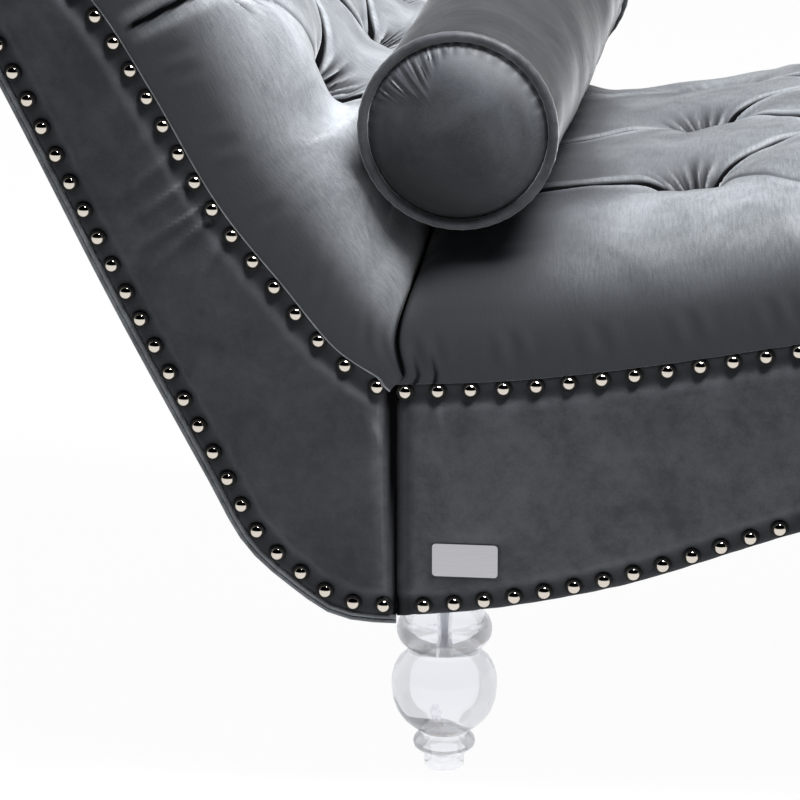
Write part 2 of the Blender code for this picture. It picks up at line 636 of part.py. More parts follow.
def bolster(place, velvet):
    """A filled roll with a domed cap and a piping cord at each end, on one empty that lifts off."""
    lift = bpy.data.objects.new("bolster_lift", None)
    bpy.context.collection.objects.link(lift)
    lift.matrix_world = place
    half = BOLSTER_LENGTH / 2
    rim = BOLSTER_R - BOLSTER_CHAMFER
    end = [(0.0, half + BOLSTER_DOME), (0.45 * rim, half + 0.85 * BOLSTER_DOME),
           (0.80 * rim, half + 0.45 * BOLSTER_DOME), (rim, half), (BOLSTER_R, half - BOLSTER_CHAMFER),
           (BOLSTER_R + 0.7 * BOLSTER_CROWN, half * 0.5)]
    profile = end + [(BOLSTER_R + BOLSTER_CROWN, 0.0)] + [(radius, -y) for radius, y in end[::-1]]
    roll = turned("bolster_cushion", profile[::-1], BOLSTER_STEPS, (0, 0, 0), (0, 1, 0), velvet)
    roll.parent = lift
    # The cord lies on the chamfer, half outside the roll
    off = (PIPING_R + CLEAR) * math.sqrt(0.5)
    centre_r = BOLSTER_R - BOLSTER_CHAMFER / 2 + off
    centre_y = half - BOLSTER_CHAMFER / 2 + off
    for end_name, side in (("front", -1), ("rear", 1)):
        section = []
        for k in range(8):
            angle = math.tau * (k + 0.5) / 8
            section.append((centre_r + PIPING_R * math.cos(angle), side * centre_y + PIPING_R * math.sin(angle)))
        cord = turned("bolster_piping_" + end_name, section, BOLSTER_STEPS, (0, 0, 0), (0, 1, 0), velvet,
                      closed=True)
        cord.parent = lift


def build():
    clear_scene()
    velvet = finish("grey_velvet", (0.046, 0.050, 0.057), 0.75)
    bolster_velvet = finish("bolster_velvet", (0.056, 0.060, 0.070), 0.75)
    acrylic = finish("clear_acrylic", (0.92, 0.94, 0.95), 0.05, alpha=0.35)
    steel = finish("zinc_plated_steel", (0.55, 0.56, 0.57), 0.35, metallic=1.0)
    silver = finish("satin_silver_plate", (0.58, 0.57, 0.60), 0.4, metallic=1.0)
    wood = finish("plywood", (0.52, 0.36, 0.20), 0.6)
    foam = finish("foam", (0.75, 0.70, 0.55), 0.95)
    cloth = finish("black_cambric", (0.02, 0.02, 0.02), 0.9)
    web = finish("elastic_webbing", (0.30, 0.27, 0.20), 0.85)

    top, foot, lower = seat_edges()
    front, rear = back_edges()
    legs_and_blocks(wood, acrylic, steel)
    seat_frame(top, foot, lower, wood)
    joint(wood, steel)
    seat_support(top, cloth, foam, steel)
    seat_covers(top, foot, lower, velvet, cloth)
    back_unit(front, rear, wood, velvet, foam, web)
    seat_tufts = [SEAT_FIRST_ROW + TUFT_STEPS * k for k in range(SEAT_ROWS)]
    back_tufts = [BACK_FIRST_ROW + TUFT_STEPS * k for k in range(BACK_ROWS)]
    roll = bolster_frame(seat_rows(top), back_rows(front))
    cushion("seat_cushion", seat_rows(top), seat_tufts, 1, roll, velvet)
    cushion("back_cushion", back_rows(front), back_tufts, -1, roll, velvet)
    label_plate(silver)
    bolster(roll, bolster_velvet)


build()
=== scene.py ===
"""Tufted velvet chaise longue with nail trim, a loose bolster and clear legs, in a white studio."""
import json
import math
from collections import namedtuple

import bmesh
import bpy
import numpy as np
from mathutils import Matrix, Vector

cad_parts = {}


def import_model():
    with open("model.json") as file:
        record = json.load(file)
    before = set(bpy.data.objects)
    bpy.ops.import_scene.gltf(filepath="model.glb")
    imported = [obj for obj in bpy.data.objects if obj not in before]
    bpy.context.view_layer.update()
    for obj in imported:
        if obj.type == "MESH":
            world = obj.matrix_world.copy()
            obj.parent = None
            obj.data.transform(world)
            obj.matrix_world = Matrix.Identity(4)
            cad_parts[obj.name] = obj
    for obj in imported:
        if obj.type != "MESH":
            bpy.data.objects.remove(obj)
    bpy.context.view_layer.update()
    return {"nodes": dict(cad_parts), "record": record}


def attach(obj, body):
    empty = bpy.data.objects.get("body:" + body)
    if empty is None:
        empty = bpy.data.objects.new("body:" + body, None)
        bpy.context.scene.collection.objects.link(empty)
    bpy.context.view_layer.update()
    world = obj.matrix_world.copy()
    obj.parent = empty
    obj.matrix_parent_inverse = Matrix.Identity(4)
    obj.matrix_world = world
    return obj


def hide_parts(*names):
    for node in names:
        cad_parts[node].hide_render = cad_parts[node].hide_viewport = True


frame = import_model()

# Sizes of the part, metres. Outlines lie in the XZ plane, with x measured from the seam between the back and
# the seat, and z from the lower edge of the frame
CLEAR = 0.0003                   # gap between neighbouring solids
WIDTH = 0.710
PANEL_T = 0.0064
LEG_HEIGHT = 0.157
LEG_TUCK = 0.003
LEG_INSET = 0.055
REAR_LEG_X = 0.036
FRONT_LEG_X = 0.880
BLOCK_LENGTH = 0.070
SEAM_HEIGHT = 0.208
SEAT_TOP = [(0.10, 0.007), (0.20, 0.021), (0.31, 0.041), (0.50, 0.078), (0.75, 0.117)]
ARCH = [(0.174, 0.029), (0.342, 0.087), (0.480, 0.128), (0.660, 0.095)]
FOOT_SCROLL = (1.020, 0.366)
FOOT_SCROLL_R = 0.046
FOOT_ARC = (115.0, -105.0)
TOE_OUT = 0.085
TOE_UP = 0.020
HEEL_Z = 0.002
FOOT_EDGE = [(-0.018, 0.100), (-0.008, 0.200)]
BACK_FRONT = [(-0.045, 0.239), (-0.095, 0.298), (-0.146, 0.363), (-0.201, 0.459), (-0.243, 0.526),
              (-0.300, 0.590)]
BACK_REAR = [(-0.048, 0.004), (-0.081, 0.024), (-0.1235, 0.062), (-0.154, 0.117), (-0.236, 0.273),
             (-0.332, 0.467)]
BACK_SCROLL = (-0.400, 0.586)
BACK_SCROLL_R = 0.050
BACK_ARC = (65.0, 300.0)
CUSHION_T = 0.103
BACK_ROLL_T = 0.050
FOOT_ROLL_T = 0.034
TAIL_T = 0.011
BORDER = 0.085
BORDER_POWER = 2.4
CROWN = 0.022
CROWN_POWER = 5.0
BACK_CROWN = 0.004
CROWN_FADE = (0.190, 0.060)
SEAT_STEPS = 35
BACK_STEPS = 19
SCROLL_STEPS = 15
SKIN_T = 0.0055
CROOK_LENGTH = 0.215
BOLSTER_R = 0.0805
BOLSTER_CROWN = 0.0015
BOLSTER_LENGTH = 0.650
BOLSTER_CHAMFER = 0.007
BOLSTER_DOME = 0.008
BOLSTER_YAW = 1.5
BOLSTER_OFF_BACK = 0.004
PIPING_R = 0.0045
PLATE_X = 0.059
PLATE_Z = 0.0525
PLATE_W = 0.056
PLATE_H = 0.029

FRAME_Z = LEG_HEIGHT - LEG_TUCK
OUTER_Y = WIDTH / 2
PANEL_Y = OUTER_Y - PANEL_T
SIDE_Y = PANEL_Y - CLEAR
LEG_Y = OUTER_Y - LEG_INSET
SEAM_X = -(BACK_SCROLL[0] - BACK_SCROLL_R - BACK_ROLL_T + FOOT_SCROLL[0] + FOOT_SCROLL_R + FOOT_ROLL_T) / 2

# Upholstery
FINE = 14                        # rows of the velvet in each step of the solids' grid
BORDER_COLUMNS = 46
MIDDLE_COLUMNS = 324             # 1.7 mm apart, so that one lies on each row of buttons
SEAT_BUTTON_ROWS = (9, 14, 19, 24, 29)
BACK_BUTTON_ROWS = (6.8, 11, 16)
BACK_BOW = 0.030                 # how far the back's outer buttons are above the middle ones
BUTTON_GAP = 0.200
BUTTON_R = 0.0125
PIT_DEPTH = 0.050
PIT_R = 0.026
PLEAT_DEPTH = 0.013
OUTER_FOLDS = 0.16               # depth of the folds next to the border, as a share
CREASE_WIDTHS = (0.0028, 0.0034)   # of a fold's near and far walls
VALLEY_WIDTH = 0.026             # of the soft valley round each fold
LIP = (0.0020, 0.0095, 0.0045)   # bulge beside a fold: height, distance from the fold and width
CREST_HIGHLIGHT = 240                  # how much painted highlight a ridge gets, for each metre of its height
PUFF = 0.006                     # how much each diamond swells over the plain cushion
CROWN_REACH = OUTER_Y - BORDER + 0.03   # half width of the crowns
# Rows of nails: inset from the outline, first nail, pitch, and how much wider the pitch starts
BACK_REAR_NAILS = (0.0090, 0.011, 0.0261, 0.0)
BACK_FRONT_NAILS = (0.0128, 0.011, 0.0266, 0.25)
SEAT_LOWER_NAILS = (0.0085, 0.024, 0.0261, 0.0)
SEAT_TOP_NAILS = (0.0088, 0.007, 0.0278, 0.0)
SEAT_FOOT_NAILS = (0.0088, 0.012, 0.0265, 0.0)
# Where the side panels' rounded edges are at the joint: height, and place before or behind the seam
SEAM_BEND = [(0.000, -0.0004), (0.050, -0.0010), (0.090, -0.0026), (0.130, -0.0044), (0.170, -0.0060),
             (0.208, -0.0064)]
SEAT_SEAM = [(0.0, 0.0012), (SEAM_HEIGHT, 0.0012)]
JOINT_FOOT = (0.007, 0.036)      # how far the joint of the cushions bends out at its foot, and how high up
JOINT_LEAN = (0.017, 0.075)      # how far the back cushion leans over the seat there, and over what height
SEAT_TUCKS = (0.0135, 0.030)     # run of two short tucks at the seat's hem, drawn as painted shade lines
ROLL_OVER = (0.030, 0.034)       # depth and length of the cushions' roll into their joint
CROOK_DRIFT = 0.11               # how far the folds behind the bolster stray towards the front
SEAT_HEM = 0.0016                # how far the cushions' velvet reaches over the side panels
BACK_HEM = 0.0068
SEAM_HEM = 0.0035                # and how much farther at the joint
CAP_FILL = 0.017                 # how far the roll's caps bulge
PANEL_PITCH = 0.0034             # mesh of the side panels
RIM_TONE = 0.2                    # how dark the velvet is under the nails and outside them
NAIL_HEAD = [(0.0, 0.0044), (0.0015, 0.0043), (0.0030, 0.0038), (0.0043, 0.0030), (0.0052, 0.0019),
             (0.0057, 0.0008), (0.0059, -0.0002), (0.0056, -0.0012)]
# Section of the ring of velvet crushed round each nail, painted near black as the shadow at the nail's rim
CRUSHED_SHADOW_RING = [(0.0050, -0.0004), (0.0060, 0.0007), (0.0070, 0.0005), (0.0076, -0.0012)]
# Wrinkles drawn from the nails into the side panels: start, end, depth, and widths of both walls
BACK_WRINKLES = [((-0.178, 0.373), (-0.224, 0.341), 0.0036, 0.0030, 0.0065),
                 ((-0.163, 0.353), (-0.214, 0.320), 0.0040, 0.0030, 0.0065),
                 ((-0.160, 0.341), (-0.198, 0.308), 0.0034, 0.0030, 0.0060),
                 ((-0.192, 0.394), (-0.232, 0.362), 0.0026, 0.0030, 0.0060),
                 ((-0.146, 0.326), (-0.162, 0.296), 0.0020, 0.0030, 0.0060),
                 ((-0.205, 0.418), (-0.222, 0.400), 0.0012, 0.0030, 0.0060),
                 ((-0.026, 0.176), (-0.012, 0.150), 0.0016, 0.0030, 0.0060)]
SEAT_WRINKLES = [((0.003, 0.030), (0.018, 0.062), 0.0012, 0.0030, 0.0070),
                 ((0.032, 0.190), (0.036, 0.165), 0.0010, 0.0030, 0.0070)]
WELT_R = 0.0020
WELT_PLACES = (0.0014, 0.0052)   # of the two cords along each edge, outside its outline


# Outlines

def equal_steps(points, count):
    """The same line, cut into count steps of equal length."""
    run = [0.0]
    for a, b in zip(points, points[1:]):
        run.append(run[-1] + (b - a).length)
    result = [points[0]]
    i = 0
    for k in range(1, count):
        goal = run[-1] * k / count
        while run[i + 1] < goal:
            i += 1
        share = (goal - run[i]) / (run[i + 1] - run[i])
        result.append(points[i].lerp(points[i + 1], share))
    return result + [points[-1]]


def spline(points, count, start=None, end=None):
    """A smooth curve through the points, as count equal steps. start and end are directions."""
    knots = [Vector(point) for point in points]
    gaps = [(b - a).length for a, b in zip(knots, knots[1:])]
    slopes = [(knots[1] - knots[0] if start is None else Vector(start)).normalized()]
    for i in range(1, len(knots) - 1):
        slopes.append((knots[i + 1] - knots[i - 1]) / (gaps[i - 1] + gaps[i]))
    slopes.append((knots[-1] - knots[-2] if end is None else Vector(end)).normalized())
    fine = []
    parts = 48
    for i, gap in enumerate(gaps):
        for k in range(parts):
            t = k / parts
            place = knots[i] * (2 * t**3 - 3 * t**2 + 1) + knots[i + 1] * (3 * t**2 - 2 * t**3)
            bend = slopes[i] * (t**3 - 2 * t**2 + t) + slopes[i + 1] * (t**3 - t**2)
            fine.append(place + bend * gap)
    fine.append(knots[-1])
    return equal_steps(fine, count)


def on_circle(centre, radius, degrees):
    angle = math.radians(degrees)
    return Vector(centre) + radius * Vector((math.cos(angle), math.sin(angle)))


def arc(centre, radius, first, last, steps):
    """Points on an arc after its first one; angles in degrees."""
    return [on_circle(centre, radius, first + (last - first) * k / steps) for k in range(1, steps + 1)]


def scroll_end(centre, radius, degrees, clockwise):
    """Where a scroll's arc starts, and the direction of travel there."""
    angle = math.radians(degrees)
    turn = -1 if clockwise else 1
    return on_circle(centre, radius, degrees), (-math.sin(angle) * turn, math.cos(angle) * turn)


class Edge:
    """One stretch of a unit's outline. inside is 1 where the frame lies on its right, -1 on its left."""

    def __init__(self, points, inside):
        self.points = points
        self.inside = inside

    def normals(self):
        """Mitred vectors into the frame."""
        sides = []
        for a, b in zip(self.points, self.points[1:]):
            along = (b - a).normalized()
            sides.append(Vector((along.y, -along.x)) * self.inside)
        mitres = [sides[0]]
        for a, b in zip(sides, sides[1:]):
            mitres.append((a + b) / (1 + a.dot(b)))
        return mitres + [sides[-1]]

    def inset(self, depth):
        return [point + normal * depth for point, normal in zip(self.points, self.normals())]


def seat_edges(fine):
    """The seat unit's top, foot and lower edges, each step of the solids cut into fine ones."""
    start, along = scroll_end(FOOT_SCROLL, FOOT_SCROLL_R, FOOT_ARC[0], True)
    rise = [(x, SEAM_HEIGHT + z) for x, z in SEAT_TOP]
    top = spline([(0.0, SEAM_HEIGHT), *rise, start], SEAT_STEPS * fine, end=along)
    top += arc(FOOT_SCROLL, FOOT_SCROLL_R, *FOOT_ARC, SCROLL_STEPS * fine)
    heel = FRONT_LEG_X - BLOCK_LENGTH / 2
    toe = FRONT_LEG_X + BLOCK_LENGTH / 2
    lower = spline([(0.0, 0.0), *ARCH, (heel, HEEL_Z), (toe, 0.0)], 26 * fine, start=(1.0, 0.05),
                   end=(1.0, 0.0))
    front = [(FOOT_SCROLL[0] + x, z) for x, z in FOOT_EDGE]
    foot = spline([(toe, 0.0), (FRONT_LEG_X + TOE_OUT, TOE_UP), *front, top[-1]], 16 * fine, start=(1.0, 0.0))
    return Edge(top, 1), Edge(foot, -1), Edge(lower, -1)


def back_edges(fine):
    """The back unit's front and rear edges."""
    start, along = scroll_end(BACK_SCROLL, BACK_SCROLL_R, BACK_ARC[0], False)
    front = spline([(0.0, SEAM_HEIGHT), *BACK_FRONT, start], BACK_STEPS * fine, end=along)
    front += arc(BACK_SCROLL, BACK_SCROLL_R, *BACK_ARC, SCROLL_STEPS * fine)
    rear = spline([(0.0, 0.0), *BACK_REAR, front[-1]], 18 * fine, start=(-1.0, 0.0))
    return Edge(front, -1), Edge(rear, 1)


def whole_outline(points, side):
    """A unit's outline, kept on its own side of the joint and without points that lie on one another."""
    kept = []
    for point in points:
        point = Vector((side * max(side * point.x, CLEAR), point.y))
        if not kept or (point - kept[-1]).length > 1e-4:
            kept.append(point)
    return kept[:-1] if (kept[0] - kept[-1]).length < 1e-4 else kept


def world(point, y):
    """A point of an outline, at a place across the width."""
    return Vector((SEAM_X + point[0], y, FRAME_Z + point[1]))


def smooth(value):
    """A soft step from 0 to 1."""
    value = np.clip(value, 0.0, 1.0)
    return value * value * (3 - 2 * value)


# Finishes

def hex_colour(code):
    """An sRGB hex colour as linear RGBA."""
    channels = [int(code[i:i + 2], 16) / 255 for i in (1, 3, 5)]
    linear = [c / 12.92 if c <= 0.04045 else ((c + 0.055) / 1.055) ** 2.4 for c in channels]
    return (*linear, 1.0)


def add(tree, kind, inputs=None, **settings):
    """Add a node with its settings; an input is a value, or another node's output to link."""
    made = tree.nodes.new("ShaderNode" + kind)
    for name, value in settings.items():
        setattr(made, name, value)
    for key, value in (inputs or {}).items():
        if isinstance(value, bpy.types.NodeSocket):
            tree.links.new(value, made.inputs[key])
        else:
            made.inputs[key].default_value = value
    return made


def level(tree, value, low, high, start=0.0, end=1.0):
    """A value taken from the range start to end to the range low to high, and held there."""
    return add(tree, "MapRange", {"Value": value, "From Min": start, "From Max": end, "To Min": low,
                                  "To Max": high}).outputs[0]


def reckon(tree, operation, *values):
    """One step of arithmetic."""
    return add(tree, "Math", dict(enumerate(values)), operation=operation).outputs[0]


def blend(tree, share, one, other):
    """A share of the way from one colour to another."""
    return add(tree, "Mix", {0: share, 6: one, 7: other}, data_type="RGBA").outputs[2]


def ramp(tree, value, dark, pale):
    """A colour that goes from dark to pale with a value."""
    made = add(tree, "ValToRGB", {"Fac": value})
    for stop, code in zip(made.color_ramp.elements, (dark, pale)):
        stop.color = hex_colour(code)
    return made.outputs["Color"]


def clouds(tree, place, scale, detail, roughness=0.5, distortion=0.0):
    """Noise over a place, its scale in cells to the metre."""
    return add(tree, "TexNoise", {"Vector": place, "Scale": scale, "Detail": detail, "Roughness": roughness,
                                  "Distortion": distortion}).outputs["Fac"]


def bands(tree, direction, scale, distortion, **more):
    """Waves across the object."""
    return add(tree, "TexWave", {"Vector": on_object(tree), "Scale": scale, "Distortion": distortion, **more},
               bands_direction=direction).outputs["Fac"]


def bump(tree, height, strength, distance, **below):
    """The normal of a relief."""
    return add(tree, "Bump", {"Height": height, "Strength": strength, "Distance": distance,
                              **below}).outputs[0]


def on_object(tree):
    """The place in the object's own metres."""
    return add(tree, "TexCoord").outputs["Object"]


def new_finish(name, **values):
    """A material with a Principled shader whose sockets get the given constants."""
    material = bpy.data.materials.new(name)
    material.use_nodes = True
    shader = material.node_tree.nodes["Principled BSDF"]
    for key, value in values.items():
        shader.inputs[key.replace("_", " ")].default_value = value
    return material, material.node_tree


def feed(tree, **sockets):
    """Link outputs to sockets of the Principled shader."""
    for name, socket in sockets.items():
        tree.links.new(socket, tree.nodes["Principled BSDF"].inputs[name.replace("_", " ")])


def mix_in(tree, share, other):
    """Mix another shader's output into the Principled one."""
    both = add(tree, "MixShader", {0: share, 1: tree.nodes["Principled BSDF"].outputs[0], 2: other})
    tree.links.new(both.outputs[0], tree.nodes["Material Output"].inputs["Surface"])


def white_rays(tree):
    """1 for the rays that see the white studio: the camera's, and those in gloss and through the acrylic."""
    path = add(tree, "LightPath").outputs
    seen = reckon(tree, "MAXIMUM", path["Is Camera Ray"], path["Is Glossy Ray"])
    return reckon(tree, "MAXIMUM", seen, path["Is Transmission Ray"])


def velvet(name, dark, pale, brush=(90.0, 90.0, 90.0), on_cloth=False, sheen=(0.6, 1.0), turned=None,
           bright="#b4b8bc"):
    """Grey cotton velvet. Its pile is brushed in streaks, it catches light at a grazing angle, and its tone
    drifts in patches where hands have turned the nap. brush is the streaks' scale along each axis. turned is
    the colour where the pile lies towards the viewer, also used as painted shade, and bright a painted
    highlight on the crest of a fold, which a piece tells by its attribute nap; below 0 the attribute paints
    shade down to near black."""
    material, tree = new_finish(name, Roughness=0.55, Specular_IOR_Level=0.30, Sheen_Weight=1.0,
                                Sheen_Roughness=0.36, Sheen_Tint=hex_colour("#eef1f4"))
    place = add(tree, "TexCoord").outputs["UV" if on_cloth else "Object"]
    stretched = add(tree, "Mapping", {"Vector": place, "Scale": brush}).outputs[0]
    # Streaks of brushed nap: on the cushions 11 to 14 mm long and 2.4 mm wide
    streaks = clouds(tree, stretched, 1.0, 4.0, 0.62, 0.2)
    # Patches of turned nap, about 60 mm across
    patches = clouds(tree, place, 16.0, 4.0, 0.55, 0.8)
    # Tufts of pile are 0.3 mm: drawn at 1.4 mm so that they show
    pile = clouds(tree, place, 700.0, 2.0, 0.7)
    tone = 0.0
    for layer, weight in ((streaks, 0.7), (patches, 1.1), (pile, 0.5)):
        tone = reckon(tree, "MULTIPLY_ADD", layer, weight, tone)
    tone = level(tree, tone, 0.0, 1.0, 0.88, 1.42)
    shade = ramp(tree, tone, dark, pale)
    bloom = level(tree, tone, *sheen)
    if turned is not None:
        nap = add(tree, "Attribute", attribute_name="nap").outputs["Fac"]
        shade = blend(tree, nap, hex_colour(turned), shade)
        # Painted shade: in a crease the velvet goes near black
        shade = blend(tree, level(tree, nap, 0.95, 0.0, -1.0, 0.0), shade, hex_colour("#060607"))
        # Painted highlight: the colour bright on the crests of folds
        shade = blend(tree, level(tree, nap, 0.0, 1.0, 1.0, 2.0), shade, hex_colour(bright))
        # Sheen and gloss fade with the painted shade as well
        standing = level(tree, nap, 0.0, 1.0, -1.0)
        bloom = reckon(tree, "MULTIPLY", bloom, standing)
        feed(tree, Specular_IOR_Level=reckon(tree, "MULTIPLY", standing, 0.30))
    feed(tree, Base_Color=shade, Sheen_Weight=bloom, Roughness=level(tree, tone, 0.62, 0.48))
    coarse = bump(tree, streaks, 0.3, 0.0008)
    feed(tree, Normal=bump(tree, pile, 0.25, 0.0005, Normal=coarse))
    return material


def polished_nickel():
    """Nickel-plated steel nail heads, domed by a die: mirror bright, warm where the floor shows in them."""
    material, tree = new_finish("polished_nickel", Base_Color=hex_colour("#d8d0c6"), Metallic=1.0,
                                Roughness=0.10)
    # Fine handling marks, 3 mm apart
    feed(tree, Roughness=level(tree, clouds(tree, on_object(tree), 330.0, 2.0), 0.06, 0.16))
    return material


def clear_acrylic():
    """Cast acrylic, turned and polished: clear with a faint cool cast, and bright at its edges."""
    material, tree = new_finish("clear_acrylic", Base_Color=hex_colour("#f6f7fb"), Roughness=0.02, IOR=1.49,
                                Transmission_Weight=1.0)
    # Traces of the polishing wheel, 4 mm apart up the leg
    feed(tree, Normal=bump(tree, bands(tree, "Z", 80.0, 1.5), 0.02, 0.0002))
    # Some light passes straight through, as it does in bright daylight
    mix_in(tree, 0.34, add(tree, "BsdfTransparent", {"Color": hex_colour("#f2f3f7")}).outputs[0])
    return material


def satin_plate():
    """Satin anodised aluminium plate: pale silver, with a fine brushed grain along its length."""
    material, tree = new_finish("satin_aluminium", Metallic=1.0, Roughness=0.42)
    stretched = add(tree, "Mapping", {"Vector": on_object(tree), "Scale": (60.0, 60.0, 3000.0)}).outputs[0]
    # Brush marks 0.3 mm apart
    grain = clouds(tree, stretched, 1.0, 3.0)
    feed(tree, Roughness=level(tree, grain, 0.34, 0.52), Base_Color=ramp(tree, grain, "#b9b8bd", "#d6d5d9"))
    return material


def zinc_plate():
    """Zinc-plated steel of studs, bolts and springs: cool grey, slightly cloudy."""
    material, tree = new_finish("zinc_plated_steel", Metallic=1.0, Roughness=0.45)
    # Spangle clouds 5 mm across
    feed(tree, Base_Color=ramp(tree, clouds(tree, on_object(tree), 200.0, 3.0), "#b4b6b9", "#dcdddf"))
    return material


def birch_plywood():
    """Sawn birch plywood: pale, with veneer layers on the cut edges."""
    material, tree = new_finish("birch_plywood", Roughness=0.62)
    # Veneers 1.4 mm thick across the width of the frame
    feed(tree, Base_Color=ramp(tree, bands(tree, "Y", 110.0, 1.2, Detail=2.0), "#a9855a", "#d2b083"))
    return material


def cut_foam():
    """Open-cell polyether foam: cream, matt, with fine cells."""
    material, tree = new_finish("cut_foam", Roughness=0.95)
    # Cells 1 mm across
    cells = add(tree, "TexVoronoi", {"Vector": on_object(tree), "Scale": 900.0}).outputs["Distance"]
    feed(tree, Base_Color=ramp(tree, cells, "#b8ab84", "#e6dcbb"))
    return material


def woven(name, dark, pale, pitch, roughness):
    """A plain woven or bonded cloth, seen as a fine grid of threads, each pitch metres wide."""
    material, tree = new_finish(name, Roughness=roughness)
    warp, weft = (bands(tree, way, 0.16 / pitch, 0.4) for way in "YX")
    threads = reckon(tree, "MULTIPLY", warp, weft)
    feed(tree, Base_Color=ramp(tree, threads, dark, pale), Normal=bump(tree, threads, 0.3, 0.0003))
    return material


# Pieces

def make_piece(name, bm, material, sharp=None):
    """Turn a bmesh into a smooth object; sharp is the angle in degrees from which its edges stay sharp."""
    mesh = bpy.data.meshes.new(name)
    bm.to_mesh(mesh)
    bm.free()
    mesh.shade_smooth()
    if sharp is not None:
        mesh.set_sharp_from_angle(angle=math.radians(sharp))
    mesh.materials.append(material)
    piece = bpy.data.objects.new(name, mesh)
    bpy.context.scene.collection.objects.link(piece)
    return piece


def hand_over(piece, body, slot, *nodes):
    """Tie a finished piece to its body and hide the solids that it stands for. slot is not used."""
    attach(piece, body)
    if nodes:
        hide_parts(*nodes)


def revolve(profile, steps):
    """A bmesh of a (radius, height) profile turned about Z."""
    bm = bmesh.new()
    verts = [bm.verts.new((radius, 0.0, height)) for radius, height in profile]
    edges = [bm.edges.new(pair) for pair in zip(verts, verts[1:])]
    bmesh.ops.spin(bm, geom=verts + edges, cent=(0, 0, 0), axis=(0, 0, 1), angle=math.tau, steps=steps,
                   use_merge=True)
    bmesh.ops.remove_doubles(bm, verts=bm.verts, dist=1e-6)
    bmesh.ops.recalc_face_normals(bm, faces=bm.faces)
    return bm


def bell(value, width):
    """1 at 0, falling off to both sides."""
    return np.exp(-(value / width) ** 2)


def grid_sheet(rows, columns):
    """A bmesh grid, and the row and column of each of its vertices."""
    bm = bmesh.new()
    bmesh.ops.create_grid(bm, x_segments=rows - 1, y_segments=columns - 1, size=0.5)
    cells = [(round((vert.co.x + 0.5) * (rows - 1)), round((vert.co.y + 0.5) * (columns - 1)))
             for vert in bm.verts]
    return bm, cells


def open_edges(bm):
    return [item for item in bm.edges if item.is_boundary]


def close_up(bm):
    """Fill what is still open, and turn every face outwards."""
    bmesh.ops.holes_fill(bm, edges=open_edges(bm))
    bmesh.ops.recalc_face_normals(bm, faces=bm.faces)


def copies(name, section, places, material, sharp=None):
    """One small turned shape, at each of the places given as matrices."""
    one = revolve(section, 20)
    mesh = bpy.data.meshes.new("one_of_" + name)
    one.to_mesh(mesh)
    one.free()
    bm = bmesh.new()
    for place in places:
        bm.from_mesh(mesh)
        bm.verts.ensure_lookup_table()
        bmesh.ops.transform(bm, matrix=place, verts=bm.verts[-len(mesh.vertices):])
    bpy.data.meshes.remove(mesh)
    return make_piece(name, bm, material, sharp)


def set_nap_and_painted_light(bm, nap):
    """Give each vertex its attribute nap for the velvet's colour: 2 is a painted highlight on a crest, 1 the
    velvet's open pile, 0 pile brushed down and darker, -1 painted shade, near black.
    """
    layer = bm.verts.layers.float.new("nap")
    for vert, value in zip(bm.verts, nap):
        vert[layer] = value


# Tufted cushions

# Rows of the velvet over a cushion: base points, directions out of the cushion, thickness of its border, run
# along it, extra height in its middle, and the points where the velvet's hem lies over the side panel
Rows = namedtuple("Rows", "base rise thick run crown hem")
# A fold: its ends, its depth at both, the depth of the soft valley round it, and how far up its far wall the
# painted shade reaches at both ends
Fold = namedtuple("Fold", "start end depth valley shut")
# The hem in section: how far outside the panel, and share of its way down from the base
HEM = [(0.0016, 0.35), (0.0016, 0.75), (0.0011, 0.93), (0.0003, 1.0), (0.0001, 0.6), (-0.0008, 0.0)]


def across_places():
    """Columns of the velvet over a cushion: y, how far into the border, height above the base, and share of
    the way down the hem."""
    inner = OUTER_Y - BORDER
    middle = np.linspace(-inner, inner, MIDDLE_COLUMNS + 1)
    t = np.linspace(0.0, 1.0, BORDER_COLUMNS + 1)[1:] * math.pi / 2
    into = np.sin(t) ** (2 / BORDER_POWER)
    height = np.cos(t) ** (2 / BORDER_POWER)
    height[-1] = 0.0
    out = inner + BORDER * into + HEM[0][0] * smooth((into - 0.9) / 0.1)
    out = np.concatenate([out, [OUTER_Y + off for off, _ in HEM]])
    into = np.concatenate([into, np.ones(len(HEM))])
    height = np.concatenate([height, np.zeros(len(HEM))])
    down = np.concatenate([np.zeros(BORDER_COLUMNS), [share for _, share in HEM]])
    flat = np.zeros(len(middle))
    y = np.concatenate([-out[::-1], middle, out])
    edge = np.concatenate([into[::-1], flat, into])
    lift = np.concatenate([height[::-1], flat + 1, height])
    return y, edge, lift, np.concatenate([down[::-1], flat, down])


def along_edge(edge, steps):
    """Rows along an edge up to the tail of its scroll: base, direction out, place in grid steps, and run."""
    count = (steps + SCROLL_STEPS - 1) * FINE + 1
    base = np.array(edge.inset(-CLEAR))[:count]
    out = -np.array([normal.normalized() for normal in edge.normals()])[:count]
    i = np.arange(count) / FINE
    return base, out, i, i * (edge.points[FINE] - edge.points[0]).length


def border_thickness(i, thins_from, span, roll_t, tail):
    """Full, then thinner over some grid steps to what lies on the scroll, and thinner again on its tail."""
    thick = CUSHION_T + (roll_t - CUSHION_T) * smooth((i - thins_from) / span)
    return thick + (TAIL_T - roll_t) * smooth((i - i[-1] + tail) / tail)


def seat_rows():
    """Rows of the seat cushion, upright at its joint."""
    top = seat_edges(FINE)[0]
    base, out, i, run = along_edge(top, SEAT_STEPS)
    upright = (1 - np.clip(i / 4, 0.0, 1.0))[:, None]
    rise = out * (1 - upright) + np.array([0.0, 1.0]) * upright
    rise /= np.linalg.norm(rise, axis=1)[:, None]
    thick = border_thickness(i, SEAT_STEPS - 9, 12, FOOT_ROLL_T, 4)
    hem = np.array(top.inset(SEAT_HEM))[:len(base)]
    return Rows(base, rise, thick, run, CROWN * thick / CUSHION_T, hem)


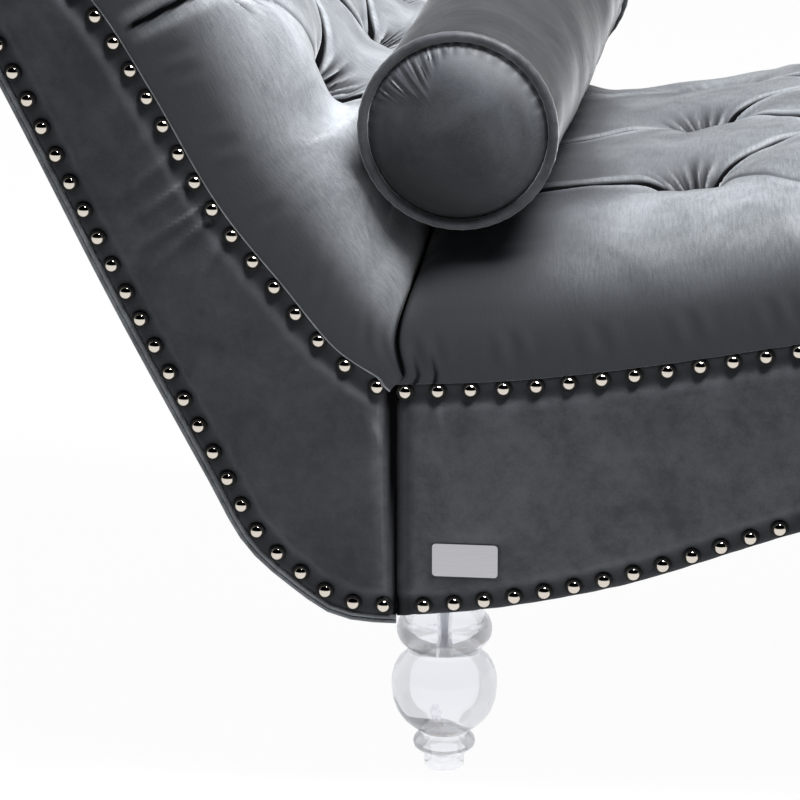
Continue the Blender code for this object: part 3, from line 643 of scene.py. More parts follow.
def back_rows():
    """Rows of the back cushion, whose foot leans into the crook."""
    front = back_edges(FINE)[0]
    base, out, i, run = along_edge(front, BACK_STEPS)
    thick = border_thickness(i, 13, 9, BACK_ROLL_T, 6)
    lean = np.clip(1 - run / CROOK_LENGTH, 0.0, 1.0)
    outward = np.arctan2(out[:, 1], out[:, 0])
    # Past the top of the scroll the direction turns on through the rear
    angle = np.where(lean > 0, outward + (math.pi / 2 - outward) * lean, outward)
    rise = np.stack([np.cos(angle), np.sin(angle)], axis=1)
    crown = CROWN + (BACK_CROWN - CROWN) * smooth((run - CROWN_FADE[0]) / CROWN_FADE[1])
    inward = np.array(front.inset(1.0))[:len(base)] - base
    hem = base + inward * (BACK_HEM + SEAM_HEM * np.exp(-run / 0.03))[:, None]
    return Rows(base, rise, thick, run, crown * thick / CUSHION_T, hem)


def bolster_frame():
    """The roll's place: it lies on the crown of the seat cushion, by the crown of the back cushion."""
    reach = BOLSTER_R + BOLSTER_CROWN + CLEAR
    off_back = reach + BOLSTER_OFF_BACK
    seat, back = (rows.base + rows.rise * (rows.thick + rows.crown * CUSHION_T / rows.thick)[:, None]
                  for rows in (seat_rows(), back_rows()))
    x = z = 0.0
    for _ in range(8):
        near = seat[abs(seat[:, 0] - x) < reach]
        z = float(np.max(near[:, 1] + np.sqrt(reach ** 2 - (near[:, 0] - x) ** 2)))
        near = back[abs(back[:, 1] - z) < off_back]
        x = float(np.max(near[:, 0] + np.sqrt(off_back ** 2 - (near[:, 1] - z) ** 2)))
    return Matrix.Translation(world((x, z), 0.0)) @ Matrix.Rotation(math.radians(-BOLSTER_YAW), 4, "Z")


def button_places(rows, step, bow):
    """(run, y) of each button. Rows of three and of four take turns, and their ends bow along the cushion."""
    places = []
    for k, row in enumerate(rows):
        shares = (-1, 0, 1) if k % 2 == 0 else (-1.5, -0.5, 0.5, 1.5)
        places.append([(row * step + bow * min(share ** 2, 1.0), share * BUTTON_GAP) for share in shares])
    return places


def off_line(run, y, a, b):
    """Distance to the line from a to b, how far along it (0 to 1), and which side (positive behind it)."""
    along = np.array(b) - np.array(a)
    length = np.linalg.norm(along)
    along = along / length
    t = np.clip(((run - a[0]) * along[0] + (y - a[1]) * along[1]) / length, 0.0, 1.0)
    dx = run - a[0] - along[0] * length * t
    dy = y - a[1] - along[1] * length * t
    behind = (dy * along[0] - dx * along[1]) * (1 if along[0] >= 0 else -1)
    return np.sqrt(dx ** 2 + dy ** 2), t, behind


def crease(run, y, a, b, depth, near, far):
    """A fold drawn in between a and b: a steep wall on one side, a softer one on the other."""
    away, t, behind = off_line(run, y, a, b)
    width = np.where(behind > 0, far, near)
    return (depth[0] + (depth[1] - depth[0]) * t) * np.exp(-(away / width) ** 1.25)


def cleft(run, y, a, b, reach):
    """1 where a fold gets painted shade: in its bottom and some way up its far wall, given at a and at b."""
    away, t, behind = off_line(run, y, a, b)
    up_the_wall = 1 - smooth((away - reach[0] - (reach[1] - reach[0]) * t) / 0.0026)
    return np.where(behind > 0, up_the_wall, 1 - smooth(away / 0.0022))


def gathers(r, around, gather_from, chance):
    """Thin ridges that run into a pit, most of them on the side that the velvet is drawn from."""
    wander = 0.35 * np.sin(around + chance.uniform(0, 6.28)) + r * chance.uniform(-14.0, 14.0)
    ridge = 1 - 2 * abs(np.sin(8.2 * around + wander)) ** 0.75
    reach = smooth((r - 0.005) / 0.009) * bell(np.maximum(r - 0.014, 0.0), chance.uniform(0.017, 0.023))
    facing = np.cos(around - gather_from + chance.uniform(-0.3, 0.3))
    return chance.uniform(0.0036, 0.0046) * ridge * reach * (0.25 + 0.75 * smooth((facing + 0.2) / 0.6))


def fold_lines(places, length, hem, crook_depth):
    """The folds from button to button, over the border to the hem, into the crook and to the tail."""
    folds = []
    for row, following in zip(places, places[1:] + [[]]):
        for button in row:
            for other in following:
                if abs(other[1] - button[1]) < 0.6 * BUTTON_GAP:
                    outer = max(abs(button[1]), abs(other[1])) > 1.2 * BUTTON_GAP
                    share = OUTER_FOLDS if outer else 1.0
                    folds.append(Fold(button, other, depth=(PLEAT_DEPTH * share, PLEAT_DEPTH * share),
                                      valley=0.0060 * share, shut=(0.0054, 0.0036)))
            if len(row) == 4 and abs(button[1]) > BUTTON_GAP:
                folds.append(Fold(button, (button[0] + 0.012, math.copysign(hem, button[1])),
                                  depth=(0.011, 0.006), valley=0.0030, shut=(0.0022, 0.0012)))
    for button in places[0]:
        drift = button[1] - CROOK_DRIFT * (1 - abs(button[1]) / (1.2 * BUTTON_GAP))
        folds.append(Fold(button, (0.0, drift), depth=(PLEAT_DEPTH, crook_depth), valley=0.0045,
                          shut=(0.0036, 0.0056)))
    for button in places[-1]:
        folds.append(Fold(button, (length, button[1]), depth=(PLEAT_DEPTH, 0.004), valley=0.0030,
                          shut=(0.0050, 0.0030)))
    return folds


def tuft_field(run, y, places, gather_from, crook_depth):
    """How far the buttons, the folds between them and the gathers round them pull the velvet in, how much
    painted shade they lay in folds and pits less the painted highlight on ridges and lips, and how far the
    folds alone go in.
    y is measured over the border."""
    shape = np.broadcast(run, y).shape
    pits, ridges, hollow, creases, valleys, lips, clefts = np.zeros((7, *shape))
    chance = np.random.default_rng(7)
    for s, across in [button for row in places for button in row]:
        r = np.hypot(run - s, y - across)
        around = np.arctan2(y - across, run - s)
        lobes = 1 + 0.10 * np.cos(4 * around + chance.uniform(0, 6.28)) + 0.06 * np.cos(7 * around)
        pit = np.exp(-(r / (PIT_R * lobes)) ** 1.25)
        pits = np.maximum(pits, PIT_DEPTH * pit)
        # Painted shade in each pit, strongest on its far side
        hollow = np.maximum(hollow, pit * (0.3 + 0.7 * smooth((y - across) / 0.03 + 0.3)))
        ridges += gathers(r, around, gather_from, chance)
    for a, b, depth, valley, reach in fold_lines(places, run.max(), y.max() - 0.008, crook_depth):
        sharp = min(1.0, 0.2 + depth[0] / PLEAT_DEPTH)
        creases = np.maximum(creases, crease(run, y, a, b, depth, *CREASE_WIDTHS))
        clefts = np.maximum(clefts, sharp * cleft(run, y, a, b, np.array(reach) * sharp))
        valleys = np.maximum(valleys, crease(run, y, a, b, (valley, valley), VALLEY_WIDTH, VALLEY_WIDTH))
        # The velvet bulges a little beside a fold
        away, along, _ = off_line(run, y, a, b)
        height, place, width = LIP
        lips = np.maximum(lips, height * sharp ** 2 * bell(away - place, width) * smooth(along / 0.15))
    open_part = 1 - pits / PIT_DEPTH
    # Painted shade in the folds and pits, less a painted highlight on the ridges and lips
    shut = 1.9 * clefts + 1.3 * hollow ** 1.2 - CREST_HIGHLIGHT * (ridges + lips)
    return pits + (creases + valleys - lips) * open_part - ridges - PUFF, shut, creases


def rumple(run, y, amount):
    """Slight unevenness of the filling, as three waves that never line up."""
    a = np.sin(run * 61 + 1.3 * np.sin(y * 37)) * np.sin(y * 53 + 0.7 + 1.1 * np.sin(run * 29))
    b = np.sin(run * 113 + y * 47 + 2.1) * np.sin(y * 97 - run * 31)
    return amount * (0.7 * a + 0.3 * b)


def by_roll(place, roll):
    """Places as the roll sees them, and their distance from its axis."""
    to_roll = np.array(roll.inverted())
    local = place @ to_roll[:3, :3].T + to_roll[:3, 3]
    return local, np.hypot(local[..., 0], local[..., 2])


def pressed(place, roll, least):
    """Push the velvet out of the bolster that lies on it."""
    from_roll = np.array(roll)
    local, reach = by_roll(place, roll)
    inside = (reach < least) & (abs(local[..., 1]) < BOLSTER_LENGTH / 2 + BOLSTER_DOME)
    scale = np.where(inside, least / np.maximum(reach, 1e-6), 1.0)
    local[..., 0] *= scale
    local[..., 2] *= scale
    return local @ from_roll[:3, :3].T + from_roll[:3, 3]


def near_roll(place, roll, reach, beyond=0.03):
    """1 at the bolster's skin, falling to 0 at a distance from it and beyond its ends."""
    local, away = by_roll(place, roll)
    over_end = BOLSTER_LENGTH / 2 + beyond - abs(local[..., 1])
    return smooth(1 - (away - BOLSTER_R) / reach) * smooth(over_end / 0.06)


def joint_line(place):
    """How far towards the foot the joint of the cushions lies, an S that leans over the seat at its top."""
    height = place[..., 2] - FRAME_Z - SEAM_HEIGHT
    foot = smooth((height + 0.004) / 0.010) * (1 - smooth(height / JOINT_FOOT[1]))
    return JOINT_FOOT[0] * foot + JOINT_LEAN[0] * smooth((height - JOINT_FOOT[1]) / JOINT_LEAN[1])


def crown_share(y, power):
    """Height of a cushion's crown across its width, 1 in the middle."""
    return np.clip(1 - abs(y / CROWN_REACH) ** power, 0.0, 1.0)


def cushion_shape(rows, columns, drop, sunk, side, roll, fullness, power):
    """Where the velvet of a cushion lies, for each row and column."""
    base, rise, thick, run, _, hem = rows
    y, edge, lift, down = columns
    drop = drop * (1 - 0.5 * edge[None, :]) * smooth(thick / 0.045)[:, None]
    crown = rows.crown[:, None] * crown_share(y, power)[None, :]
    # The crowns of the two cushions roll over into the joint between them
    roll_over = ROLL_OVER[0] * (1 - np.sqrt(1 - np.clip(1 - run / ROLL_OVER[1], 0.0, 1.0) ** 2))
    swell = rumple(run[:, None], y[None, :], 0.0012) + fullness(run[:, None], y[None, :])
    top = lift[None, :] * (thick[:, None] + crown - roll_over[:, None] - drop + swell)
    # Short tucks where the velvet is pulled down behind the side panel
    tuck = 0.0010 * np.sin(run * math.tau / 0.023 + 2.2 * np.sin(run * 17)) * np.sin(run * 41 + 0.6) ** 2
    low = smooth((edge - 0.95) / 0.03) * smooth((1 - edge) / 0.01)
    x, z = (base[:, k][:, None] + rise[:, k][:, None] * top + (hem - base)[:, k][:, None] * down[None, :]
            for k in (0, 1))
    inward = 0.5 * sunk * smooth((edge - 0.5) / 0.5)[None, :] * smooth(lift / 0.1)[None, :]
    across = y[None, :] + np.sign(y)[None, :] * (tuck[:, None] * low[None, :] - inward)
    place = np.stack([SEAM_X + x, np.broadcast_to(across, x.shape), FRAME_Z + z], axis=-1)
    joint = SEAM_X + side * CLEAR
    clip = np.maximum if side > 0 else np.minimum
    place[..., 0] = clip(place[..., 0], joint)
    # Both cushions lean towards the foot near their joint
    place[..., 0] += joint_line(place) * bell(place[..., 0] - SEAM_X, 0.055)
    soft = pressed(place, roll, BOLSTER_R + BOLSTER_CROWN + 0.0004)
    soft[..., 0] = clip(soft[..., 0], joint + joint_line(soft))
    return np.where((lift > 0)[None, :, None], soft, place)


def cushion_nap_and_light(rows, columns, shut, place, side, roll, brushed):
    """The attribute nap of a cushion: its pile is brushed down over the border, below the height share
    brushed, and painted darker there as shade; it also carries the painted shade and highlights of folds,
    joint, hem and roll.
    """
    run = rows.run
    y, _, lift, down = columns
    # Darker down the border's face where the pile is brushed down, as painted shade, with a painted highlight
    # along its crest
    pile_and_light = smooth((lift - brushed) / 0.55) * (0.6 + 0.4 * bell(abs(y) - OUTER_Y + BORDER, 0.035))
    # Painted shade in the joint where the two cushions press on each other
    shut = shut + 1.8 * bell(run, 0.0028)[:, None]
    # A painted highlight on the rounded hem, a light line over the dark gap to the side panel
    pile_and_light += 1.1 * smooth((down - 0.8) / 0.13)
    # Painted shade and highlights of the folds, faded out low on the border
    pile_and_light = pile_and_light[None, :] - shut * smooth(lift / 0.15)[None, :]
    if side > 0:
        # Painted shadow of the roll on the seat beside it, reaching farther in front
        beside = 0.09 - 0.04 * smooth((y + 0.24) / 0.15)
        pile_and_light -= 0.95 * near_roll(place, roll, beside[None, :], 0.06)
        pile_and_light -= 0.3 * near_roll(place, roll, 0.15, 0.06)
        # Painted shade along two short tucks at the seat's hem
        for tuck_run in SEAT_TUCKS:
            pile_and_light -= 1.2 * bell(run - tuck_run, 0.0018)[:, None] * smooth(1 - lift / 0.3)[None, :]
        return pile_and_light
    # Painted light on the back's border low down, and painted shadow from the roll over it
    low_down = 1 - smooth((run - 0.06) / 0.16)[:, None]
    pile_and_light += 0.20 * low_down * smooth((lift - 0.2) / 0.5)[None, :]
    return pile_and_light - 1.2 * near_roll(place, roll, 0.055) * low_down ** 2


def cushion(name, rows, places, side, roll, gather_from, crook_depth, fullness, power, brushed, material):
    """A diamond-tufted velvet cushion over a unit's top edge, closed underneath. side is 1 for the seat and
    -1 for the back, fullness(run, y) the extra height of its filling, and power the shape of its crown."""
    columns = across_places()
    y, _, lift, _ = columns
    # The cloth's own width, measured over the border
    girth = np.concatenate([[0.0], np.cumsum(np.hypot(np.diff(y), CUSHION_T * np.diff(lift)))])
    girth -= girth[-1] / 2
    drop, shut, sunk = tuft_field(rows.run[:, None], girth[None, :], places, gather_from, crook_depth)
    place = cushion_shape(rows, columns, drop, sunk, side, roll, fullness, power)
    pile_and_light = cushion_nap_and_light(rows, columns, shut, place, side, roll, brushed)
    bm, cells = grid_sheet(len(rows.run), len(y))
    for vert, cell in zip(bm.verts, cells):
        vert.co = place[cell]
    set_nap_and_painted_light(bm, [pile_and_light[cell] for cell in cells])
    on_cloth = np.array([(girth[column], rows.run[row]) for row, column in cells])
    sides = [item for item in open_edges(bm) if all(abs(vert.co.y) > OUTER_Y - 0.003 for vert in item.verts)]
    bmesh.ops.bridge_loops(bm, edges=sides)
    close_up(bm)
    piece = make_piece(name, bm, material, sharp=75)
    # A UV map in metres: u across the cloth, v along it
    corners = np.zeros(len(piece.data.loops), dtype=np.int32)
    piece.data.loops.foreach_get("vertex_index", corners)
    uv = on_cloth[corners].ravel().astype(np.float32)
    piece.data.uv_layers.new(name="cloth").data.foreach_set("uv", uv)
    return piece


def seat_fullness(run, y):
    """Extra height of the seat's filling: it has sunk on the far side."""
    return -0.016 * smooth(y / 0.27) * smooth((run - 0.10) / 0.06)


def back_fullness(run, y):
    """The back's border is fullest above its first row of buttons and drawn in below it."""
    near = smooth((abs(y) - 0.17) / 0.06)
    return near * (0.003 * bell(run - 0.345, 0.055) - 0.008 * bell(run - 0.232, 0.032))


def covered_buttons(name, rows, places, fullness, material):
    """Velvet-covered buttons, 25 mm across, sunk in their pits."""
    dome = [(0.0, 0.0050), (0.004, 0.0047), (0.008, 0.0037), (0.011, 0.0018), (BUTTON_R, -0.0010),
            (0.0115, -0.0035), (0.0, -0.0040)]
    seats = []
    for s, y in [button for row in places for button in row]:
        edge = max(0.0, (abs(y) - OUTER_Y + BORDER) / BORDER)
        drop = (PIT_DEPTH - 0.006) * (1 - 0.5 * edge) - float(fullness(np.array(s), np.array(y)))
        k = int(np.argmin(abs(rows.run - s)))
        crown = rows.crown[k] * float(crown_share(y, CROWN_POWER))
        top = rows.base[k] + rows.rise[k] * (rows.thick[k] + crown - drop)
        out = Vector((rows.rise[k][0], 0.0, rows.rise[k][1]))
        turn = Vector((0, 0, 1)).rotation_difference(out).to_matrix().to_4x4()
        seats.append(Matrix.Translation(world(top, y)) @ turn)
    return copies(name, dome, seats, material, sharp=60)


# Side panels, outer panels, welts and nails

def clipped_sheet(outline, pitch):
    """A flat bmesh in the XZ plane inside an outline, cut into squares."""
    bm = bmesh.new()
    bm.faces.new([bm.verts.new((point[0], 0.0, point[1])) for point in outline])
    for k, normal in enumerate((Vector((1, 0, 0)), Vector((0, 0, 1)))):
        values = [point[k] for point in outline]
        for step in range(1, int((max(values) - min(values)) / pitch) + 1):
            geom = bm.verts[:] + bm.edges[:] + bm.faces[:]
            bmesh.ops.bisect_plane(bm, geom=geom, dist=1e-6, plane_co=normal * (min(values) + step * pitch),
                                   plane_no=normal)
    return bm


def distance_to(points, line):
    """Distance of each point to a line of short steps."""
    line = np.array(line)
    best = np.full(len(points), 1e9)
    for a, b in zip(line, line[1:]):
        along = b - a
        t = np.clip(((points - a) @ along) / (along @ along), 0.0, 1.0)
        best = np.minimum(best, np.linalg.norm(points - a - t[:, None] * along, axis=1))
    return best


def nail_places(nailed):
    """Where a unit's nails go: a row along each nailed edge, away from nails that are already there."""
    found = []
    for edge, (inset, first, pitch, wider) in nailed:
        line = edge.inset(inset)
        run = 0.0
        goal = first
        for a, b in zip(line, line[1:]):
            length = (b - a).length
            while goal <= run + length:
                spot = a.lerp(b, (goal - run) / length)
                if all((spot - other).length > 0.72 * pitch for other in found):
                    found.append(spot)
                goal += pitch * (1 + wider * math.exp(-goal / 0.1))
            run += length
    return found


def side_panel(name, outline, nailed, seam, nails, wrinkles, side, puff, open_nap, material, plate=None):
    """Padded velvet on one side of a unit: flat under the nails, full inside them, with wrinkles. nailed is
    a list of edges with their rows of nails, seam the rounded edge at the joint, side -1 at the front and 1
    at the rear, and plate the middle and half size of a label plate."""
    bm = clipped_sheet(outline, PANEL_PITCH)
    bmesh.ops.remove_doubles(bm, verts=bm.verts, dist=0.0006)
    flat = np.array([(vert.co.x, vert.co.z) for vert in bm.verts])
    x, z = flat.T
    rim = np.full(len(flat), 1e9)
    beyond = np.full(len(flat), 1e9)
    for edge, row in nailed:
        away = distance_to(flat, [tuple(point) for point in edge.points[:-1:4] + edge.points[-1:]])
        rim = np.minimum(rim, away)
        beyond = np.minimum(beyond, away - row[0])
    # The joint is on the right of the back's panel and on the left of the seat's
    handed = 1 if seam[0][1] < 0 else -1
    to_seam = np.maximum((np.interp(z, *zip(*seam)) - x) * handed, 0.0)
    # Padding, the groove along the nails, and the rounded edges
    out = puff * smooth((beyond - 0.0070) / 0.011) + 0.5 * puff * smooth((beyond - 0.02) / 0.08)
    out -= 0.0012 * bell(beyond, 0.006)
    out -= 0.0035 * (1 - np.sqrt(1 - np.clip(1 - np.minimum(rim, to_seam) / 0.0045, 0.0, 1.0) ** 2))
    out = out * smooth((to_seam + 0.002) / 0.02) - 0.0026 * np.exp(-(to_seam / 0.006))
    for spot in nails:
        r = np.hypot(x - spot.x, z - spot.y)
        out -= 0.0026 * bell(r, 0.0080) + 0.0006 * bell(r, 0.014) * smooth((beyond - 0.002) / 0.008)
    # Darker under the nails and outside them, lighter on the padding
    nap = RIM_TONE + (open_nap - RIM_TONE) * smooth((beyond - 0.004) / 0.010)
    # A painted highlight on the back panel's rounded edge at the joint and painted shade on the seat panel's,
    # and painted shade in the joint itself, where no light falls
    nap += 0.55 * bell(to_seam - 0.0085, 0.0055) * handed
    nap -= 1.7 * bell(to_seam, 0.0026)
    for a, b, depth, near, far in wrinkles:
        out -= crease(x, z, a, b, (depth, 0.15 * depth), near, far)
        # Painted highlight on a wrinkle's upper wall and painted shade in its bottom
        away, t, behind = off_line(x, z, a, b)
        off = np.where(behind > 0, away, -away)
        fading = depth * (1 - 0.8 * t)
        nap += CREST_HIGHLIGHT * fading * bell(off - 0.0038, 0.0044) - 160 * fading * bell(off + 0.0026, 0.0036)
    out += rumple(x * 0.6, z * 0.6, 0.0010) * smooth((rim - 0.02) / 0.03)
    if plate is not None:
        # The label plate is drawn down into the padding
        (middle_x, middle_z), half_width, half_height = plate
        off = np.maximum(abs(x - middle_x) - half_width, abs(z - middle_z) - half_height)
        out = np.where(off < 0.002, np.minimum(out, -0.0001), out * smooth((off + 0.004) / 0.022))
    for vert, depth in zip(bm.verts, out):
        vert.co = world((vert.co.x, vert.co.z), side * (OUTER_Y + max(depth, 0.0012 - PANEL_T)))
    set_nap_and_painted_light(bm, nap)
    for item in bmesh.ops.extrude_edge_only(bm, edges=open_edges(bm))["geom"]:
        if isinstance(item, bmesh.types.BMVert):
            item.co.y = side * (PANEL_Y + 0.0001)
    close_up(bm)
    return make_piece(name, bm, material, sharp=65)


def nail_trim(name, section, spots, side, material):
    """One turned shape at each nail's place: the domed heads, or the ring of crushed velvet round each,
    painted near black as the shadow at its rim.
    """
    facing = Matrix.Rotation(-side * math.pi / 2, 4, "X")
    places = [Matrix.Translation(world(spot, side * OUTER_Y)) @ facing for spot in spots]
    return copies(name, section, places, material)


def welt(name, lines, radius, material):
    """Thin sewn welts: round cords under velvet, each along a line of points in an XZ plane."""
    bm = bmesh.new()
    for path in lines:
        ring = None
        for k, point in enumerate(path):
            ahead = (path[min(k + 1, len(path) - 1)] - path[max(k - 1, 0)]).normalized()
            made = bmesh.ops.create_circle(bm, segments=8, radius=radius)["verts"]
            across = Vector((0, 1, 0))
            turn = Matrix((across, ahead.cross(across).normalized(), ahead)).transposed()
            for vert in made:
                vert.co = point + turn @ vert.co
            if ring is not None:
                for a, b, c, d in zip(ring, ring[1:] + ring[:1], made[1:] + made[:1], made):
                    bm.faces.new((a, b, c, d))
            else:
                bm.faces.new(made)
            ring = made
        bm.faces.new(ring[::-1])
    bmesh.ops.recalc_face_normals(bm, faces=bm.faces)
    return make_piece(name, bm, material, sharp=70)


def outer_panel(name, edge, first, depth, material):
    """Velvet over the outside of the back or of the foot, from an edge's point first on, padded most in its
    middle."""
    line = edge.points[first:]
    normals = edge.normals()[first:]
    y = np.linspace(-SIDE_Y, SIDE_Y, 120)
    bm, cells = grid_sheet(len(line), len(y))
    for vert, (row, column) in zip(bm.verts, cells):
        swell = depth * math.sin(math.pi * row / (len(line) - 1)) * math.cos(y[column] * 4.2)
        out = swell * float(smooth(min(SIDE_Y - abs(y[column]), 0.03) / 0.03))
        vert.co = world(line[row] - normals[row] * out, y[column])
    set_nap_and_painted_light(bm, np.full(len(bm.verts), 0.75))
    inner = bmesh.ops.extrude_edge_only(bm, edges=open_edges(bm))["geom"]
    points = np.array([tuple(world(point, 0.0)) for point in line])
    for vert in inner:
        if isinstance(vert, bmesh.types.BMVert):
            k = int(np.argmin(np.hypot(points[:, 0] - vert.co.x, points[:, 2] - vert.co.z)))
            inward = normals[k] * (SKIN_T - CLEAR)
            vert.co += Vector((inward.x, 0.0, inward.y))
    close_up(bm)
    return make_piece(name, bm, material, sharp=60)


# Bolster

def lay_down(bm, roll):
    """Turn a shape made about Z to lie along the roll."""
    bmesh.ops.transform(bm, matrix=roll @ Matrix.Rotation(-math.pi / 2, 4, "X"), verts=bm.verts)


def cap_gathers(r, rim, turn):
    """Height of the gathers on a cap, drawn in by the piping. turn is the angle from straight up."""
    turn = math.remainder(turn, math.tau)
    start = 0.86 - 0.42 * bell(turn + 0.75, 0.40)
    reach = float(smooth((r / rim - start) / 0.20)) * (0.15 + 0.85 * max(0.0, math.cos(turn * 0.8)))
    ridge = 1 - 2 * abs(math.sin(20 * turn + 1.3 * math.sin(3 * turn + 1) + 9 * r)) ** 0.8
    return 0.0026 * ridge * reach


def bolster_cover(roll, material):
    """The filled roll, with slight dents on its body and about twenty-five gathers on each cap."""
    half = BOLSTER_LENGTH / 2
    rim = BOLSTER_R - BOLSTER_CHAMFER + 0.0016
    profile = [(0.0, half + CAP_FILL)]
    for k in range(1, 49):
        r = rim * math.sin(math.pi / 2 * k / 48)
        bulge = CAP_FILL * (1 - (r / rim) ** 2.6) ** 0.75
        profile.append((r, half + bulge - 0.0022 * bell(r - rim, 0.0030)))
    profile.append((BOLSTER_R - BOLSTER_CHAMFER * 0.25, half - BOLSTER_CHAMFER * 0.75))
    for k in range(0, 41):
        y = (half - BOLSTER_CHAMFER) * (1 - k / 40)
        profile.append((BOLSTER_R + BOLSTER_CROWN * (1 - (y / half) ** 2), y))
    profile += [(r, -y) for r, y in profile[-2::-1]]
    bm = revolve(profile, 256)
    nap = []
    for vert in bm.verts:
        nap.append(-0.22)
        r = math.hypot(vert.co.x, vert.co.y)
        around = math.atan2(vert.co.y, vert.co.x)
        if abs(vert.co.z) > half - 0.007 and r < rim + 0.001:
            # Straight up on the finished roll is -Y here
            turn = around + math.pi / 2
            gather = cap_gathers(r, rim, turn) if r > 0.002 else 0.0
            vert.co.z += math.copysign(gather, vert.co.z)
            # Painted light: the cap is lighter towards its upper right and on its gathers
            nap[-1] = 0.60 + 0.75 * r / rim * math.cos(turn - 0.45) + 160 * gather
        elif r > 0.01:
            swell = 0.0009 * math.sin(5 * around + 14 * vert.co.z)
            swell += 0.0005 * math.sin(61 * vert.co.z + 3 * around)
            pull = 0.0006 * math.cos(34 * around) * math.exp(-(half - abs(vert.co.z)) / 0.02)
            scale = (r + swell + pull) / r
            vert.co.x *= scale
            vert.co.y *= scale
    set_nap_and_painted_light(bm, nap)
    lay_down(bm, roll)
    return make_piece("bolster_cover", bm, material, sharp=75)


def bolster_piping(name, roll, side, material):
    """Velvet-covered cord round one end of the roll, with the small puckers of its seam."""
    off = (PIPING_R + CLEAR) * math.sqrt(0.5)
    centre_r = BOLSTER_R - BOLSTER_CHAMFER / 2 + off
    centre_y = side * (BOLSTER_LENGTH / 2 - BOLSTER_CHAMFER / 2 + off)
    bm = bmesh.new()
    bmesh.ops.create_circle(bm, segments=14, radius=PIPING_R)
    bmesh.ops.rotate(bm, verts=bm.verts, matrix=Matrix.Rotation(math.pi / 2, 3, "X"))
    bmesh.ops.translate(bm, verts=bm.verts, vec=(centre_r, 0.0, 0.0))
    bmesh.ops.spin(bm, geom=bm.verts[:] + bm.edges[:], cent=(0, 0, 0), axis=(0, 0, 1), angle=math.tau,
                   steps=180, use_merge=True)
    bmesh.ops.remove_doubles(bm, verts=bm.verts, dist=1e-6)
    for vert in bm.verts:
        around = math.atan2(vert.co.y, vert.co.x)
        scale = 1 + 0.0022 * math.sin(46 * around + math.sin(5 * around))
        vert.co.x *= scale
        vert.co.y *= scale
        vert.co.z += centre_y
    bmesh.ops.recalc_face_normals(bm, faces=bm.faces)
    lay_down(bm, roll)
    return make_piece(name, bm, material)


# Legs

def turned_leg(name, x, y, material):
    """A turned and polished acrylic leg with a blind hole for its stud."""
    top = LEG_HEIGHT
    collar = top - 0.031
    hole_r = 0.0045
    hole_end = top - 0.048
    outer = [(0.0165, 0.0), (0.0174, 0.0010), (0.0175, 0.0110), (0.0180, 0.0129), (0.0225, 0.0152),
             (0.0262, 0.0185), (0.0273, 0.0227), (0.0262, 0.0262), (0.0232, 0.0295), (0.0207, 0.0312),
             (0.0205, 0.0325), (0.0222, 0.0341), (0.0296, 0.0390), (0.0362, 0.0450), (0.0414, 0.0530),
             (0.0447, 0.0630), (0.0460, 0.0740), (0.0457, 0.0820), (0.0436, 0.0910), (0.0394, 0.0985),
             (0.0340, 0.1032), (0.0314, 0.1050), (0.0311, 0.1075), (0.0313, 0.1096), (0.0340, 0.1115),
             (0.0385, 0.1160), (0.0409, 0.1210), (0.0415, collar), (0.0409, 0.1310), (0.0388, 0.1358),
             (0.0352, 0.1395), (0.0340, 0.1415), (0.0340, top - 0.0008), (0.0332, top)]
    profile = [(0.0, 0.0)] + outer + [(hole_r, top), (hole_r, hole_end), (0.0, hole_end)]
    bm = revolve(profile, 72)
    bmesh.ops.translate(bm, verts=bm.verts, vec=(x, y, 0.0))
    return make_piece(name, bm, material, sharp=38)


# The chaise, piece by piece

# Sides, seat and back are one grey velvet; the copies differ in tone as painted light: the upright sides,
# which get little light, darker and the back paler than the seat
side_velvet = velvet("grey_velvet_sides", "#303237", "#45484d", sheen=(0.5, 0.9), turned="#26272b",
                     bright="#8b8f95")
seat_velvet = velvet("grey_velvet_seat", "#505458", "#82868b", (90.0, 420.0, 1.0), on_cloth=True,
                     sheen=(0.5, 0.9), turned="#35373b")
back_velvet = velvet("grey_velvet_back", "#6f7378", "#a3a7ac", (420.0, 70.0, 1.0), on_cloth=True,
                     sheen=(0.6, 0.9), turned="#393b3f", bright="#a0a4a8")
button_velvet = velvet("grey_velvet_buttons", "#3a3d42", "#565a60")
roll_velvet = velvet("charcoal_velvet_bolster", "#383a3f", "#585c62", (16.0, 210.0, 16.0),
                     sheen=(0.35, 0.7), turned="#1e1f22")
# The welts are the sides' velvet in a paler tone, a painted highlight on their round cords
welt_velvet_lit = velvet("grey_velvet_welts_lit", "#4c4f54", "#777b80", sheen=(0.8, 1.0))
piping_velvet = velvet("charcoal_velvet_piping", "#292b2f", "#484b50", sheen=(0.7, 1.0))
# Crushed velvet, painted near black as the shadow round the nails
crushed_velvet_shadow = velvet("crushed_velvet_shadow", "#0c0c0e", "#141416", sheen=(0.0, 0.0))
nickel = polished_nickel()
acrylic = clear_acrylic()

